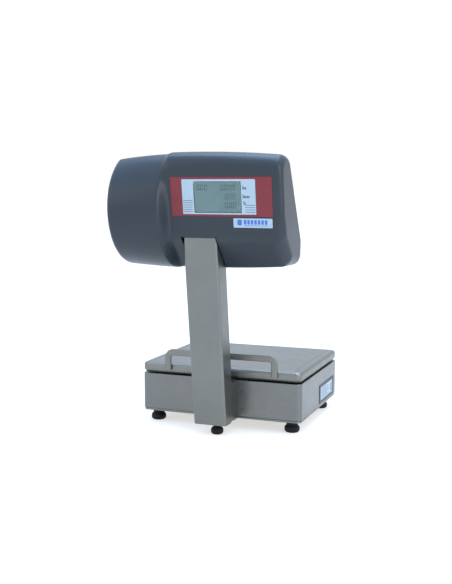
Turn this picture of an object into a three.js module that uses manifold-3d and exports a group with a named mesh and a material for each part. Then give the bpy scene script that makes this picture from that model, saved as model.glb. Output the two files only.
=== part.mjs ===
// Label printing scale: a stainless weighing base, a leaning column and a head that holds
// the displays, the keyboard and the label printer. Millimetres, +Z up.
// The customer stands at -Y, the operator at +Y. The origin is on the floor, at the middle
// of the whole object's outline.
import * as THREE from 'three';
import { mergeVertices } from 'three/addons/utils/BufferGeometryUtils.js';
import Module from 'manifold-3d';

const wasm = await Module();
wasm.setup();

// ---- driving dimensions ----------------------------------------------------------------
const GAP = 0.3;                       // left between touching pieces
const SHEET = 1.5;                     // stainless sheet thickness

const BASE = { halfWidth: 179.2, depth: 295, bottom: 24.5, top: 106.4, corner: 12, lip: 5 };
const PAN = { top: 130, rim: 109.2, lip: 5, inset: 0.5, edge: 6 };
const RAIL = { x: 3.5, halfSpan: 119.5, top: 156.5, width: 14, thick: 5, bend: 12, foot: 117.4 };
const FOOT = { pad: 16, neck: 9, stud: 4, height: 24.2, rise: 22 };
const SMALL_FOOT = { pad: 13, neck: 7.5, stud: 4, height: 21.5, rise: 20 };
const FOOT_PLACES = {
  levelling_foot_customer_left: [-153, 27],
  levelling_foot_customer_right: [153, 27],
  levelling_foot_operator_left: [153, 252],
  levelling_foot_operator_right: [-153, 252],
};
const COLUMN = {
  x: 5.3, width: 71, depth: 45, lean: 7.7, frontAtFloor: -64, length: 420, bottom: 23, edge: 6, corner: 12,
};
const COLUMN_FOOT = { x: 12.5, y: -43 };
const HEAD = {
  halfLength: 179.5, bottom: 347, top: 576, wall: 3, displayEnd: 14, drumEnd: 10, archTop: 8, archBottom: 7,
  centreY: -70, centreZ: 462, stepFrom: -50, stepTo: -71,
};
const DRUM = {
  y: -43.5, z: 467, depth: 115, above: 30, taper: 20, below: 4, from: 268, to: 126.5, roofY: -108, roofSlope: 0.45,
};
const DISPLAY_LEAN = 7.7;              // the display face leans towards the customer
const DISPLAY_FACE = [0, -130, 455];
const PANEL_SLOPE = 29;                // the operator panel leans back from upright
const PANEL_FACE = [0, -36, 460];
const PANEL_DEPTH = 9;                 // how deep the operator panel's rim reaches in
const CENTRE_Y = 68.25;                // middle of the outline, measured from the base's customer wall

const radians = THREE.MathUtils.degToRad;

// ---- solids ----------------------------------------------------------------------------
function toSolid(geometry) {
  const bare = geometry.clone();
  bare.deleteAttribute('normal');
  bare.deleteAttribute('uv');
  const merged = mergeVertices(bare, 1e-4);
  return new wasm.Manifold(new wasm.Mesh({
    numProp: 3,
    vertProperties: new Float32Array(merged.attributes.position.array),
    triVerts: new Uint32Array(merged.index.array),
  }));
}

function toGeometry(solid) {
  const mesh = solid.getMesh();
  const geometry = new THREE.BufferGeometry();
  geometry.setAttribute('position', new THREE.BufferAttribute(new Float32Array(mesh.vertProperties), 3));
  geometry.setIndex(new THREE.BufferAttribute(new Uint32Array(mesh.triVerts), 1));
  geometry.computeVertexNormals();
  return geometry;
}

function join(first, ...others) {
  return toGeometry(others.reduce((solid, other) => solid.add(toSolid(other)), toSolid(first)));
}

function cut(first, ...others) {
  return toGeometry(others.reduce((solid, other) => solid.subtract(toSolid(other)), toSolid(first)));
}

function common(first, other) {
  return toGeometry(toSolid(first).intersect(toSolid(other)));
}

// A box between two corners.
function block([x0, x1], [y0, y1], [z0, z1]) {
  const geometry = new THREE.BoxGeometry(x1 - x0, y1 - y0, z1 - z0);
  return geometry.translate((x0 + x1) / 2, (y0 + y1) / 2, (z0 + z1) / 2);
}

// A cylinder along one axis, from one place on that axis to another.
function rod(axis, radius, from, to, at = [0, 0], sides = 24) {
  const geometry = new THREE.CylinderGeometry(radius, radius, to - from, sides);
  geometry.translate(0, (from + to) / 2, 0);
  if (axis === 'x') geometry.rotateZ(-Math.PI / 2).translate(0, at[0], at[1]);
  if (axis === 'y') geometry.translate(at[0], 0, at[1]);
  if (axis === 'z') geometry.rotateX(Math.PI / 2).translate(at[0], at[1], 0);
  return geometry;
}

function roundedOutline(x0, x1, y0, y1, r) {
  const shape = new THREE.Shape();
  shape.moveTo(x0 + r, y0);
  shape.lineTo(x1 - r, y0);
  shape.absarc(x1 - r, y0 + r, r, -Math.PI / 2, 0);
  shape.lineTo(x1, y1 - r);
  shape.absarc(x1 - r, y1 - r, r, 0, Math.PI / 2);
  shape.lineTo(x0 + r, y1);
  shape.absarc(x0 + r, y1 - r, r, Math.PI / 2, Math.PI);
  shape.lineTo(x0, y0 + r);
  shape.absarc(x0 + r, y0 + r, r, Math.PI, Math.PI * 1.5);
  return shape;
}

// An outline drawn in X and Y, made solid between two heights.
function plate(shape, z0, z1, segments = 5) {
  const geometry = new THREE.ExtrudeGeometry(shape, {
    depth: z1 - z0, bevelEnabled: false, curveSegments: segments,
  });
  return geometry.translate(0, 0, z0);
}

// Turns an outline's own X and Y into Y and Z, and its depth into X.
const outlineToSide = new THREE.Matrix4().makeBasis(
  new THREE.Vector3(0, 1, 0), new THREE.Vector3(0, 0, 1), new THREE.Vector3(1, 0, 0));

function alongX(shape, x0, x1, segments = 8) {
  const geometry = new THREE.ExtrudeGeometry(shape, {
    depth: x1 - x0, bevelEnabled: false, curveSegments: segments,
  });
  return geometry.applyMatrix4(outlineToSide).translate(x0, 0, 0);
}

// An outline of [y, z] points, made solid between two places along X.
function profile(points, x0, x1) {
  const shape = new THREE.Shape(points.map(([y, z]) => new THREE.Vector2(y, z)));
  return alongX(shape, x0, x1);
}

// A solid through closed rings with equal numbers of points, capped at both ends. The two
// named axes are the ones that the rings are drawn in.
function loft(rings, across, up) {
  const count = rings[0].length;
  const positions = rings.flat().flatMap((point) => point.toArray());
  const index = [];
  for (let i = 0; i + 1 < rings.length; i += 1) {
    for (let k = 0; k < count; k += 1) {
      const a = i * count + k;
      const b = i * count + (k + 1) % count;
      index.push(a, b, b + count, a, b + count, a + count);
    }
  }
  const cap = (ring) => {
    const flat = ring.map((point) => new THREE.Vector2(point[across], point[up]));
    return THREE.ShapeUtils.triangulateShape(flat, []);
  };
  const last = (rings.length - 1) * count;
  for (const [a, b, c] of cap(rings[0])) index.push(a, c, b);
  for (const [a, b, c] of cap(rings.at(-1))) index.push(last + a, last + b, last + c);
  const geometry = new THREE.BufferGeometry();
  geometry.setAttribute('position', new THREE.Float32BufferAttribute(positions, 3));
  geometry.setIndex(index);
  geometry.computeVertexNormals();
  return geometry;
}

// Points on a rounded corner between two straight lines.
function fillet(before, corner, after, radius, steps) {
  const at = new THREE.Vector2(...corner);
  const toBefore = new THREE.Vector2(...before).sub(at).normalize();
  const toAfter = new THREE.Vector2(...after).sub(at).normalize();
  const half = Math.acos(THREE.MathUtils.clamp(toBefore.dot(toAfter), -1, 1)) / 2;
  const reach = radius / Math.tan(half);
  const middle = toBefore.clone().add(toAfter).normalize().multiplyScalar(radius / Math.sin(half)).add(at);
  const from = at.clone().addScaledVector(toBefore, reach).sub(middle);
  const to = at.clone().addScaledVector(toAfter, reach).sub(middle);
  const sweep = Math.atan2(from.cross(to), from.dot(to));
  const points = [];
  for (let i = 0; i <= steps; i += 1) {
    points.push(from.clone().rotateAround(new THREE.Vector2(), (sweep * i) / steps).add(middle));
  }
  return points;
}

// ---- materials -------------------------------------------------------------------------
function finish(colour, roughness, metalness) {
  return () => new THREE.MeshStandardMaterial({ color: colour, roughness, metalness });
}

const steel = finish(0xa9adae, 0.35, 0.9);
const columnSteel = finish(0x9aa0a2, 0.45, 0.8);
const zincSteel = finish(0x9a9fa0, 0.4, 0.8);
const aluminium = finish(0xc3c6c8, 0.45, 0.9);
const headPlastic = finish(0x4b525d, 0.5, 0);
const blackPlastic = finish(0x1a1b1d, 0.55, 0);
const redPlastic = finish(0x9c2b43, 0.35, 0);
const whitePlastic = finish(0xc9d8e4, 0.35, 0);
const lcdGlass = finish(0x738a8e, 0.15, 0);
const clearGlass = finish(0x9fb2b4, 0.08, 0);
const boardGreen = finish(0x1f5a3c, 0.5, 0);
const keyGrey = finish(0xc8ccd0, 0.5, 0);
const keyboardBlue = finish(0x2b4a72, 0.45, 0);
const paper = finish(0xf0efe8, 0.9, 0);
const rubber = finish(0x202122, 0.8, 0);
const leverGreen = finish(0x2f7f5f, 0.5, 0);

const scale = new THREE.Group();
scale.position.y = -CENTRE_Y;

function add(parent, name, geometry, material) {
  const mesh = new THREE.Mesh(geometry, material());
  mesh.name = name;
  parent.add(mesh);
  return mesh;
}

// ---- base ------------------------------------------------------------------------------
const outletPlaces = {
  power_inlet: { y: [203, 230], z: [42, 62] },
  power_switch: { y: [174, 196], z: [42, 62] },
  data_socket: { y: [144, 164], z: [44, 60] },
};

// A box round a place on the left wall; depths are measured inwards from the wall.
function wallBox({ y, z }, grow, from, to) {
  const wall = -BASE.halfWidth;
  return block([wall + from, wall + to], [y[0] - grow, y[1] + grow], [z[0] - grow, z[1] + grow]);
}

function baseOutline(inset) {
  const { halfWidth, depth, corner } = BASE;
  return roundedOutline(-halfWidth + inset, halfWidth - inset, inset, depth - inset, corner - inset / 2);
}

function baseHousing() {
  const low = BASE.bottom + BASE.lip + GAP;
  const walls = cut(
    plate(baseOutline(0), low, BASE.top),
    plate(baseOutline(SHEET), low - 1, BASE.top - SHEET),
  );
  const topOpening = plate(roundedOutline(-60, 110, 95, 200, 8), BASE.top - 5, BASE.top + 5, 3);
  const wallHoles = Object.values(outletPlaces).map((place) => wallBox(place, GAP, -5, 5));
  const cableHole = rod('y', 8, -5, 5, [COLUMN.x, 66], 16);
  return cut(walls, topOpening, cableHole, ...wallHoles);
}

function baseTray() {
  const floor = plate(baseOutline(1.2), BASE.bottom, BASE.bottom + BASE.lip);
  const inside = plate(baseOutline(1.2 + SHEET), BASE.bottom + SHEET, BASE.bottom + BASE.lip + 1);
  const places = Object.values(FOOT_PLACES);
  const bosses = places.map((at) => rod('z', 8, BASE.bottom + 0.5, BASE.bottom + 26, at, 12));
  const holes = places.map((at) => rod('z', FOOT.stud + GAP, BASE.bottom - 5, BASE.bottom + 30, at, 12));
  return cut(join(cut(floor, inside), ...bosses), ...holes);
}

function addBase() {
  add(scale, 'base_tray', baseTray(), zincSteel);
  add(scale, 'base_housing', baseHousing(), steel);

  const trayTop = BASE.bottom + SHEET;
  const cell = { x: [-75, 75], y: [128, 168], z: [trayTop + 12, trayTop + 47] };
  add(scale, 'load_cell_spacer', block([-73, -40], [130, 166], [trayTop + GAP, cell.z[0] - GAP]), zincSteel);
  const bore = (x) => rod('y', 11, 120, 176, [x, (cell.z[0] + cell.z[1]) / 2], 20);
  const slit = block([-14, 14], [120, 176], [cell.z[0] + 14.5, cell.z[1] - 14.5]);
  add(scale, 'load_cell', cut(block(cell.x, cell.y, cell.z), bore(-14), bore(14), slit), aluminium);

  const armTop = PAN.top - SHEET - GAP;
  const hub = block([40, 73], [130, 166], [cell.z[1] + GAP, BASE.top + 6]);
  const spine = block([-140, 140], [140, 155], [BASE.top + 2, BASE.top + 9]);
  const cross = (x) => block([x - 8, x + 8], [45, 250], [BASE.top + 2, BASE.top + 9]);
  const posts = [];
  for (const x of [-130, 130]) {
    for (const y of [55, 240]) posts.push(rod('z', 7, BASE.top + 4, armTop, [x, y], 16));
  }
  add(scale, 'pan_support', join(spine, hub, cross(-130), cross(130), ...posts), aluminium);

  const vialAt = [-150, 275];
  add(scale, 'spirit_level', new THREE.LatheGeometry([
    [0, 0], [9, 0], [9, 3], [7.5, 4.5], [6.5, 4.5], [5.5, 3.6], [0, 3.6],
  ].map(([r, z]) => new THREE.Vector2(r, z)), 20).rotateX(Math.PI / 2)
    .translate(vialAt[0], vialAt[1], BASE.top + GAP), clearGlass);

  const face = BASE.halfWidth;
  const framed = cut(
    plate(roundedOutline(-61, 61, -21, 21, 3), GAP / 2, 0.8, 3),
    block([-52, 48], [-14.5, 14.5], [0.5, 2]),
  );
  const dataPlate = add(scale, 'data_plate', framed, blackPlastic);
  dataPlate.rotation.set(Math.PI / 2, Math.PI / 2, 0);
  dataPlate.position.set(face, 207, 54);
}

function addPowerSupply() {
  const low = BASE.bottom + SHEET + GAP;
  const board = block([-40, 90], [40, 100], [low, low + 4]);
  const transformer = block([-30, 15], [45, 92], [low + 3, low + 38]);
  const heatSink = block([60, 64], [45, 95], [low + 3, low + 30]);
  const capacitors = [30, 46].map((x) => rod('z', 7, low + 3, low + 26, [x, 70], 16));
  add(scale, 'power_supply', join(board, transformer, heatSink, ...capacitors), boardGreen);
}

// A shell with a rim on the left wall and a well that is open to the outside.
function wallShell(place, { rim, depth, wall, well }) {
  const lip = 0.8;
  const body = join(wallBox(place, rim, -lip, -GAP / 2), wallBox(place, 0, -lip / 2, depth));
  return cut(body, wallBox(place, -wall, -5, well));
}

function addOutlets() {
  const { power_inlet: inlet, power_switch: power, data_socket: data } = outletPlaces;
  add(scale, 'power_inlet', wallShell(inlet, { rim: 4, depth: 26, wall: 2.5, well: 17 }), blackPlastic);
  add(scale, 'switch_frame', wallShell(power, { rim: 2, depth: 18, wall: 2, well: 12 }), blackPlastic);
  add(scale, 'data_socket', wallShell(data, { rim: 2, depth: 16, wall: 3, well: 10 }), blackPlastic);

  const middle = ([from, to]) => (from + to) / 2;
  const half = middle(power.y) - power.y[0] - 3;
  const rocker = new THREE.Shape();
  rocker.moveTo(-half, 1.1);
  rocker.quadraticCurveTo(0, -0.8, half, -1.4);
  rocker.lineTo(half - 2.5, -6);
  rocker.lineTo(-half + 2.5, -6);
  const rockerMesh = add(scale, 'power_switch_rocker', plate(rocker, -7.4, 7.4, 4), redPlastic);
  rockerMesh.rotation.z = Math.PI / 2;
  rockerMesh.position.set(-BASE.halfWidth + 1.2, middle(power.y), middle(power.z));
}

function footGeometry({ pad, neck, stud, height, rise }) {
  const outline = [
    [0, 0], [pad - 2, 0], [pad, 2.5], [pad, 8.5], [pad - 2.5, 11], [neck, 13],
    [neck, height], [stud, height], [stud, height + rise], [0, height + rise],
  ];
  return new THREE.LatheGeometry(outline.map(([r, z]) => new THREE.Vector2(r, z)), 18).rotateX(Math.PI / 2);
}

function addFeet() {
  for (const [name, [x, y]] of Object.entries(FOOT_PLACES)) {
    add(scale, name, footGeometry(FOOT), blackPlastic).position.set(x, y, 0);
  }
}

// ---- weighing pan ----------------------------------------------------------------------
function panRing(inset, z) {
  const points = baseOutline(PAN.inset + inset).getPoints(4);
  const distinct = points.filter((point, i) => point.distanceTo(points.at(i - 1)) > 1e-6);
  return distinct.map((point) => new THREE.Vector3(point.x, point.y, z));
}

function panShape(offset, low) {
  const rounding = 4;
  const rings = [panRing(offset, low)];
  for (let i = 0; i <= rounding; i += 1) {
    const turn = (i / rounding) * Math.PI / 2;
    const inset = offset + PAN.edge * (1 - Math.cos(turn));
    rings.push(panRing(inset, PAN.top - offset - PAN.edge * (1 - Math.sin(turn))));
  }
  return loft(rings, 'x', 'y');
}

function addPan() {
  const lipTop = PAN.rim + PAN.lip;
  const skirt = (inset, z0, z1) => plate(baseOutline(PAN.inset + PAN.lip + inset), z0, z1, 4);
  const shell = join(panShape(0, lipTop), skirt(0, PAN.rim, lipTop + 1));
  const hollow = join(panShape(SHEET, lipTop + SHEET), skirt(SHEET, PAN.rim - 1, lipTop + SHEET + 1));
  add(scale, 'weighing_pan', cut(shell, hollow), steel);

  const { halfSpan, top, width, foot, bend } = RAIL;
  const corner = (leg, bar, radius, steps) => fillet([leg, foot], [leg, bar], [0, bar], radius, steps);
  const outer = corner(-halfSpan - width / 2, top + width / 2, bend + width / 2, 6);
  const inner = corner(-halfSpan + width / 2, top - width / 2, bend - width / 2, 5);
  const mirrored = (points) => points.map(({ x, y }) => new THREE.Vector2(-x, y));
  const end = (side, edge) => new THREE.Vector2(side * (halfSpan + edge * width / 2), foot);
  const path = new THREE.Shape([
    end(-1, 1), ...outer, ...mirrored(outer).toReversed(), end(1, 1),
    end(1, -1), ...mirrored(inner), ...inner.toReversed(), end(-1, -1),
  ]);
  const rail = add(scale, 'goods_rail', plate(path, 0, RAIL.thick), steel);
  rail.rotation.x = Math.PI / 2;
  rail.position.set(RAIL.x, PAN.inset - GAP, 0);
}

// ---- column ----------------------------------------------------------------------------
// Drawn upright: z runs up the column, y across its depth, then leaned as one group.
const column = new THREE.Group();
column.position.set(COLUMN.x, COLUMN.frontAtFloor, 0);
column.rotation.x = radians(COLUMN.lean);
scale.add(column);
column.updateMatrix();

function addColumn() {
  const half = COLUMN.width / 2;
  const { depth, length, bottom, edge, corner } = COLUMN;
  const tilt = radians(COLUMN.lean);
  const outside = new THREE.Shape();
  outside.moveTo(-half, depth);
  outside.lineTo(-half, edge);
  outside.absarc(-half + edge, edge, edge, Math.PI, Math.PI * 1.5);
  outside.lineTo(half - edge, 0);
  outside.absarc(half - edge, edge, edge, -Math.PI / 2, 0);
  outside.lineTo(half, depth);
  outside.lineTo(half - SHEET, depth);
  outside.lineTo(half - SHEET, edge);
  outside.absarc(half - edge, edge, edge - SHEET, 0, -Math.PI / 2, true);
  outside.lineTo(-half + edge, SHEET);
  outside.absarc(-half + edge, edge, edge - SHEET, Math.PI * 1.5, Math.PI, true);
  outside.lineTo(-half + SHEET, depth);
  // The sheet ends level with the floor, and its rear corners are rounded.
  const level = (y) => (bottom - y * Math.sin(tilt)) / Math.cos(tilt);
  const sideView = profile([
    [-1, level(-1)], ...fillet([-1, level(-1)], [depth, level(depth)], [depth, length], corner, 6),
    [depth, length], [-1, length],
  ], -half - 1, half + 1);
  add(column, 'column_cover', common(plate(outside, 0, length, 4), sideView), columnSteel);

  const inside = half - SHEET - GAP;
  const floor = bottom - 0.5;              // of the flange the small foot screws into
  const cheek = (y, z) => [
    block([-inside, -inside + SHEET], y, z), block([inside - SHEET, inside], y, z),
  ];
  const spine = join(
    block([-inside, inside], [depth - 3.5, depth - 2], [floor + 30, length]),
    ...cheek([depth - 22, depth - 3], [floor + 30, length]),
    block([-inside, inside], [SHEET + 3, depth - 10], [floor, floor + 3]),
    ...cheek([SHEET + 3, depth - 10], [floor, floor + 40]),
  );
  const cableWindow = block([-12, 12], [depth - 10, depth + 5], [floor + 36, floor + 60]);
  const footAcross = (COLUMN_FOOT.y - COLUMN.frontAtFloor + bottom * Math.sin(tilt)) / Math.cos(tilt);
  const studHole = rod('z', SMALL_FOOT.stud + 1.5, 0, floor + 10, [COLUMN_FOOT.x - COLUMN.x, footAcross], 16);
  add(column, 'column_spine', cut(spine, cableWindow, studHole), zincSteel);

  const back = (z) => COLUMN.frontAtFloor + depth / Math.cos(tilt) - z * Math.tan(tilt) + GAP;
  const low = BASE.bottom;
  const high = BASE.top - 1;
  const spacer = profile([[back(low), low], [-GAP, low], [-GAP, high], [back(high), high]],
    COLUMN.x - half, COLUMN.x + half);
  const cablePath = block([COLUMN.x - 10, COLUMN.x + 10], [-60, 5], [58, 76]);
  add(scale, 'column_block', cut(spacer, cablePath), columnSteel);

  const bracket = join(
    block([-60, 90], [4, 38], [length + GAP, length + 2.3]),
    block([-60, 90], [36, 38], [length + GAP, length + 40]),
    block([-inside + 2, inside - 2], [5, 7], [length - 40, length + 1]),
  );
  const cableHole = block([-12, 12], [12, 30], [length - 5, length + 10]);
  add(column, 'head_bracket', cut(bracket, cableHole), zincSteel);

  add(scale, 'levelling_foot_column', footGeometry(SMALL_FOOT), blackPlastic)
    .position.set(COLUMN_FOOT.x, COLUMN_FOOT.y, 0);
}

// ---- head ------------------------------------------------------------------------------
const panelSlope = Math.tan(radians(PANEL_SLOPE));
const panelY = (z) => PANEL_FACE[1] - (z - PANEL_FACE[2]) * panelSlope;
const displayY = (z) => DISPLAY_FACE[1] - (z - DISPLAY_FACE[2]) * Math.tan(radians(DISPLAY_LEAN));

// The operator side's corners, from the top down; a drum part stands a little higher there.
const LOW_BACK = [panelY(396), 396];
const BOTTOM_BACK = 2.5;

function operatorCorners(top, topRounding, before, bottom, after) {
  const topBack = [panelY(top), top];
  const bottomBack = [BOTTOM_BACK, bottom];
  return [
    ...fillet(before, topBack, LOW_BACK, topRounding, 4),
    ...fillet(topBack, LOW_BACK, bottomBack, 34, 4),
    ...fillet(LOW_BACK, bottomBack, after, 13, 4),
  ];
}

// The display part's outline between two heights: flat faces and rounded corners.
function displayOutline(bottom, top) {
  const bottomFront = [-66, bottom];
  const knee = [displayY(408), 408];
  const topFront = [displayY(top), top];
  return [
    ...fillet([0, bottom], bottomFront, knee, 20, 4),
    ...fillet(bottomFront, knee, topFront, 24, 4),
    ...fillet(knee, topFront, [0, top], 28, 6),
    ...operatorCorners(top, 18, topFront, bottom, bottomFront),
  ];
}

// The printer part's outline: a drum in front under a sloping roof, the same operator side
// behind. The drum gets lower towards the end of the head.
function drumOutline(bottom, top, along) {
  const steps = 18;
  const above = top + DRUM.above - DRUM.taper * along - DRUM.z;
  const below = DRUM.z - bottom + DRUM.below;
  const roof = (y) => top - 2 - DRUM.roofSlope * Math.max(0, DRUM.roofY - y);
  const front = [];
  for (let i = 0; i <= steps; i += 1) {
    const angle = radians(DRUM.from + ((DRUM.to - DRUM.from) * i) / steps);
    const y = DRUM.y + DRUM.depth * Math.cos(angle);
    const z = DRUM.z + (Math.sin(angle) < 0 ? below : above) * Math.sin(angle);
    front.push(new THREE.Vector2(y, Math.min(z, roof(y))));
  }
  return [...front, ...operatorCorners(top + 0.5, 12, front.at(-1), bottom, front[0])];
}

const headMiddle = new THREE.Vector2(HEAD.centreY, HEAD.centreZ);

// How far an outline is from the head's middle in one direction.
function reachOf(outline, direction) {
  let best = 0;
  outline.forEach((point, i) => {
    const from = point.clone().sub(headMiddle);
    const edge = outline[(i + 1) % outline.length].clone().sub(point);
    const across = direction.cross(edge);
    if (Math.abs(across) < 1e-9) return;
    const along = from.cross(edge) / across;
    const share = from.cross(direction) / across;
    if (along > 0 && share >= -1e-6 && share <= 1 + 1e-6) best = Math.max(best, along);
  });
  return best;
}

// Directions from the head's middle that meet the corner points of both outlines.
function headDirections() {
  const closest = radians(1.2);
  const angles = [...displayOutline(HEAD.bottom, HEAD.top), ...drumOutline(HEAD.bottom, HEAD.top, 0)]
    .map((point) => point.sub(headMiddle).angle()).sort((a, b) => a - b);
  const kept = [];
  for (const angle of angles) {
    if (kept.length === 0 || angle - kept.at(-1) > closest) kept.push(angle);
  }
  return kept.map((angle) => new THREE.Vector2(Math.cos(angle), Math.sin(angle)));
}

const HEAD_DIRECTIONS = headDirections();

// One cross-section of the head at a place along X, moved in by the wall where asked.
function headRing(x, wall) {
  const { halfLength, top, bottom, archTop, archBottom } = HEAD;
  const along = (x / halfLength) ** 2;
  const limits = [bottom + archBottom * along, top - archTop * along];
  const display = displayOutline(...limits);
  const drum = drumOutline(...limits, along);
  const blend = THREE.MathUtils.smoothstep(HEAD.stepFrom - x, 0, HEAD.stepFrom - HEAD.stepTo);
  const points = HEAD_DIRECTIONS.map((direction) => direction.clone().multiplyScalar(
    THREE.MathUtils.lerp(reachOf(display, direction), reachOf(drum, direction), blend)));
  const rounding = x < 0 ? HEAD.drumEnd : HEAD.displayEnd;
  const fromEnd = Math.min(rounding, halfLength - Math.abs(x));
  const inset = rounding - Math.sqrt(rounding ** 2 - (rounding - fromEnd) ** 2);
  return points.map((point, i) => {
    const before = points.at(i - 1);
    const after = points[(i + 1) % points.length];
    const inward = new THREE.Vector2(before.y - after.y, after.x - before.x).normalize();
    const placed = point.clone().addScaledVector(inward, wall);
    return new THREE.Vector3(x,
      headMiddle.x + placed.x * (1 - inset / 72), headMiddle.y + placed.y * (1 - inset / 112));
  });
}

function headSolid(wall) {
  const { halfLength, drumEnd, displayEnd, stepFrom, stepTo } = HEAD;
  const reach = halfLength - wall;
  const rounded = (radius) => [0, 0.15, 0.45, 1].map((t) => reach - radius * t);
  const step = [0, 0.25, 0.5, 0.75, 1].map((t) => stepFrom + (stepTo - stepFrom) * t);
  const places = [
    ...rounded(drumEnd).map((x) => -x), -115, ...step.toReversed(), 0, 60, 120,
    ...rounded(displayEnd).toReversed(),
  ];
  return loft(places.map((x) => headRing(x, wall)), 'y', 'z');
}

function onFrame(matrix, geometry) {
  return geometry.clone().applyMatrix4(matrix);
}

// Local axes of the operator panel as its user sees it: x right, y up the slope, z out.
const panelAxes = new THREE.Matrix4().makeBasis(
  new THREE.Vector3(-1, 0, 0),
  new THREE.Vector3(0, -Math.sin(radians(PANEL_SLOPE)), Math.cos(radians(PANEL_SLOPE))),
  new THREE.Vector3(0, Math.cos(radians(PANEL_SLOPE)), Math.sin(radians(PANEL_SLOPE))),
).setPosition(...PANEL_FACE);

// Local axes of the display face as the customer sees it: x right, y up, z out.
const displayAxes = new THREE.Matrix4().makeBasis(
  new THREE.Vector3(1, 0, 0),
  new THREE.Vector3(0, -Math.sin(radians(DISPLAY_LEAN)), Math.cos(radians(DISPLAY_LEAN))),
  new THREE.Vector3(0, -Math.cos(radians(DISPLAY_LEAN)), -Math.sin(radians(DISPLAY_LEAN))),
).setPosition(...DISPLAY_FACE);

const operatorSide = new THREE.Group();
operatorSide.applyMatrix4(panelAxes);
scale.add(operatorSide);
const customerSide = new THREE.Group();
customerSide.applyMatrix4(displayAxes);
scale.add(customerSide);

// Places on the operator panel, in its own axes.
const DOOR = { x: [70, 150], y: [-47, 76], hinge: 4 };
const HINGE_AT = [DOOR.y[1] - DOOR.hinge, -DOOR.hinge / 2];
const OPERATOR_WINDOW = { x: [-150, 30], y: [48, 80] };
const OVERLAY = { x: [-96, 54], y: [-48, 38] };
const KEYPAD = { x: -157, y: -48, pitchX: 19, pitchY: 21.5, key: 15, columns: 3, rows: 4 };
// Places on the display face, in its own axes.
const FASCIA = { x: [-47.5, 159.5], y: [-3, 73] };
const BEZEL = { x: [-23.5, 126.5], y: [1, 68.5] };
const WINDOW = { x: [0.5, 97.5], y: [4, 64] };
const NAME_PLATE = { x: [80, 158], y: [-24, -6] };

// A box on one of the head's faces: a place in that face's axes, grown, between two depths.
function faceBox(axes, { x, y }, grow, z) {
  return onFrame(axes, block([x[0] - grow, x[1] + grow], [y[0] - grow, y[1] + grow], z));
}

function addHeadShells() {
  const hollow = cut(headSolid(0), headSolid(HEAD.wall));
  const everywhere = { x: [-400, 400], y: [-400, 400] };
  const behind = (depth) => faceBox(panelAxes, everywhere, 0, [-depth, 400]);
  const clearance = 1.5;
  const columnPocket = onFrame(column.matrix, block(
    [-COLUMN.width / 2 - clearance, COLUMN.width / 2 + clearance],
    [-8, COLUMN.depth + clearance], [300, COLUMN.length - 7]));
  const through = [-8, 8];
  const displayHole = faceBox(displayAxes, WINDOW, 2, through);
  const seat = faceBox(displayAxes, FASCIA, GAP, [-1, 8]);
  add(scale, 'head_shell', cut(hollow, behind(PANEL_DEPTH), columnPocket, displayHole, seat), headPlastic);

  const cover = common(hollow, behind(PANEL_DEPTH - GAP));
  const doorway = { x: DOOR.x, y: [DOOR.y[0] - 9, DOOR.y[1]] };
  const halfKey = KEYPAD.key / 2;
  const keyHoles = keyPlaces().map(({ x, y }) => faceBox(
    panelAxes, { x: [x - halfKey, x + halfKey], y: [y - halfKey, y + halfKey] }, 0.5, through));
  const hingeHole = onFrame(panelAxes, rod('x', 1.75, DOOR.x[0] - 5, DOOR.x[1] + 5, HINGE_AT, 16));
  const lug = (x) => faceBox(panelAxes, { x, y: [DOOR.y[1] - 9, DOOR.y[1] + 2] }, 0, [-5, -1.5]);
  add(scale, 'operator_panel', cut(
    join(cover, lug([DOOR.x[0] - 4.5, DOOR.x[0] - 0.8]), lug([DOOR.x[1] + 0.8, DOOR.x[1] + 4.5])),
    faceBox(panelAxes, doorway, 0.8, through),
    faceBox(panelAxes, OPERATOR_WINDOW, -2, through),
    faceBox(panelAxes, OPERATOR_WINDOW, GAP, [-1.2, 8]),
    faceBox(panelAxes, OVERLAY, GAP, [-0.8, 8]),
    hingeHole, ...keyHoles,
  ), headPlastic);
}

function keyPlaces() {
  const places = [];
  for (let row = 0; row < KEYPAD.rows; row += 1) {
    for (let i = 0; i < KEYPAD.columns; i += 1) {
      places.push({
        x: KEYPAD.x + KEYPAD.key / 2 + i * KEYPAD.pitchX,
        y: KEYPAD.y + KEYPAD.key / 2 + row * KEYPAD.pitchY,
      });
    }
  }
  return places;
}

const KEY_NAMES = ['00', '0', 'clear', '1', '2', '3', '4', '5', '6', '7', '8', '9'];

function keyGeometry() {
  const half = KEYPAD.key / 2;
  const cap = new THREE.ExtrudeGeometry(roundedOutline(-half + 0.8, half - 0.8, -half + 0.8, half - 0.8, 1.5), {
    depth: 5, bevelEnabled: true, bevelThickness: 0.8, bevelSize: 0.8, bevelSegments: 1, curveSegments: 1,
  });
  const flange = [-half - 1.2, half + 1.2];
  return join(cap.translate(0, 0, -3.2), block(flange, flange, [-5, -3.6]));
}

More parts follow.
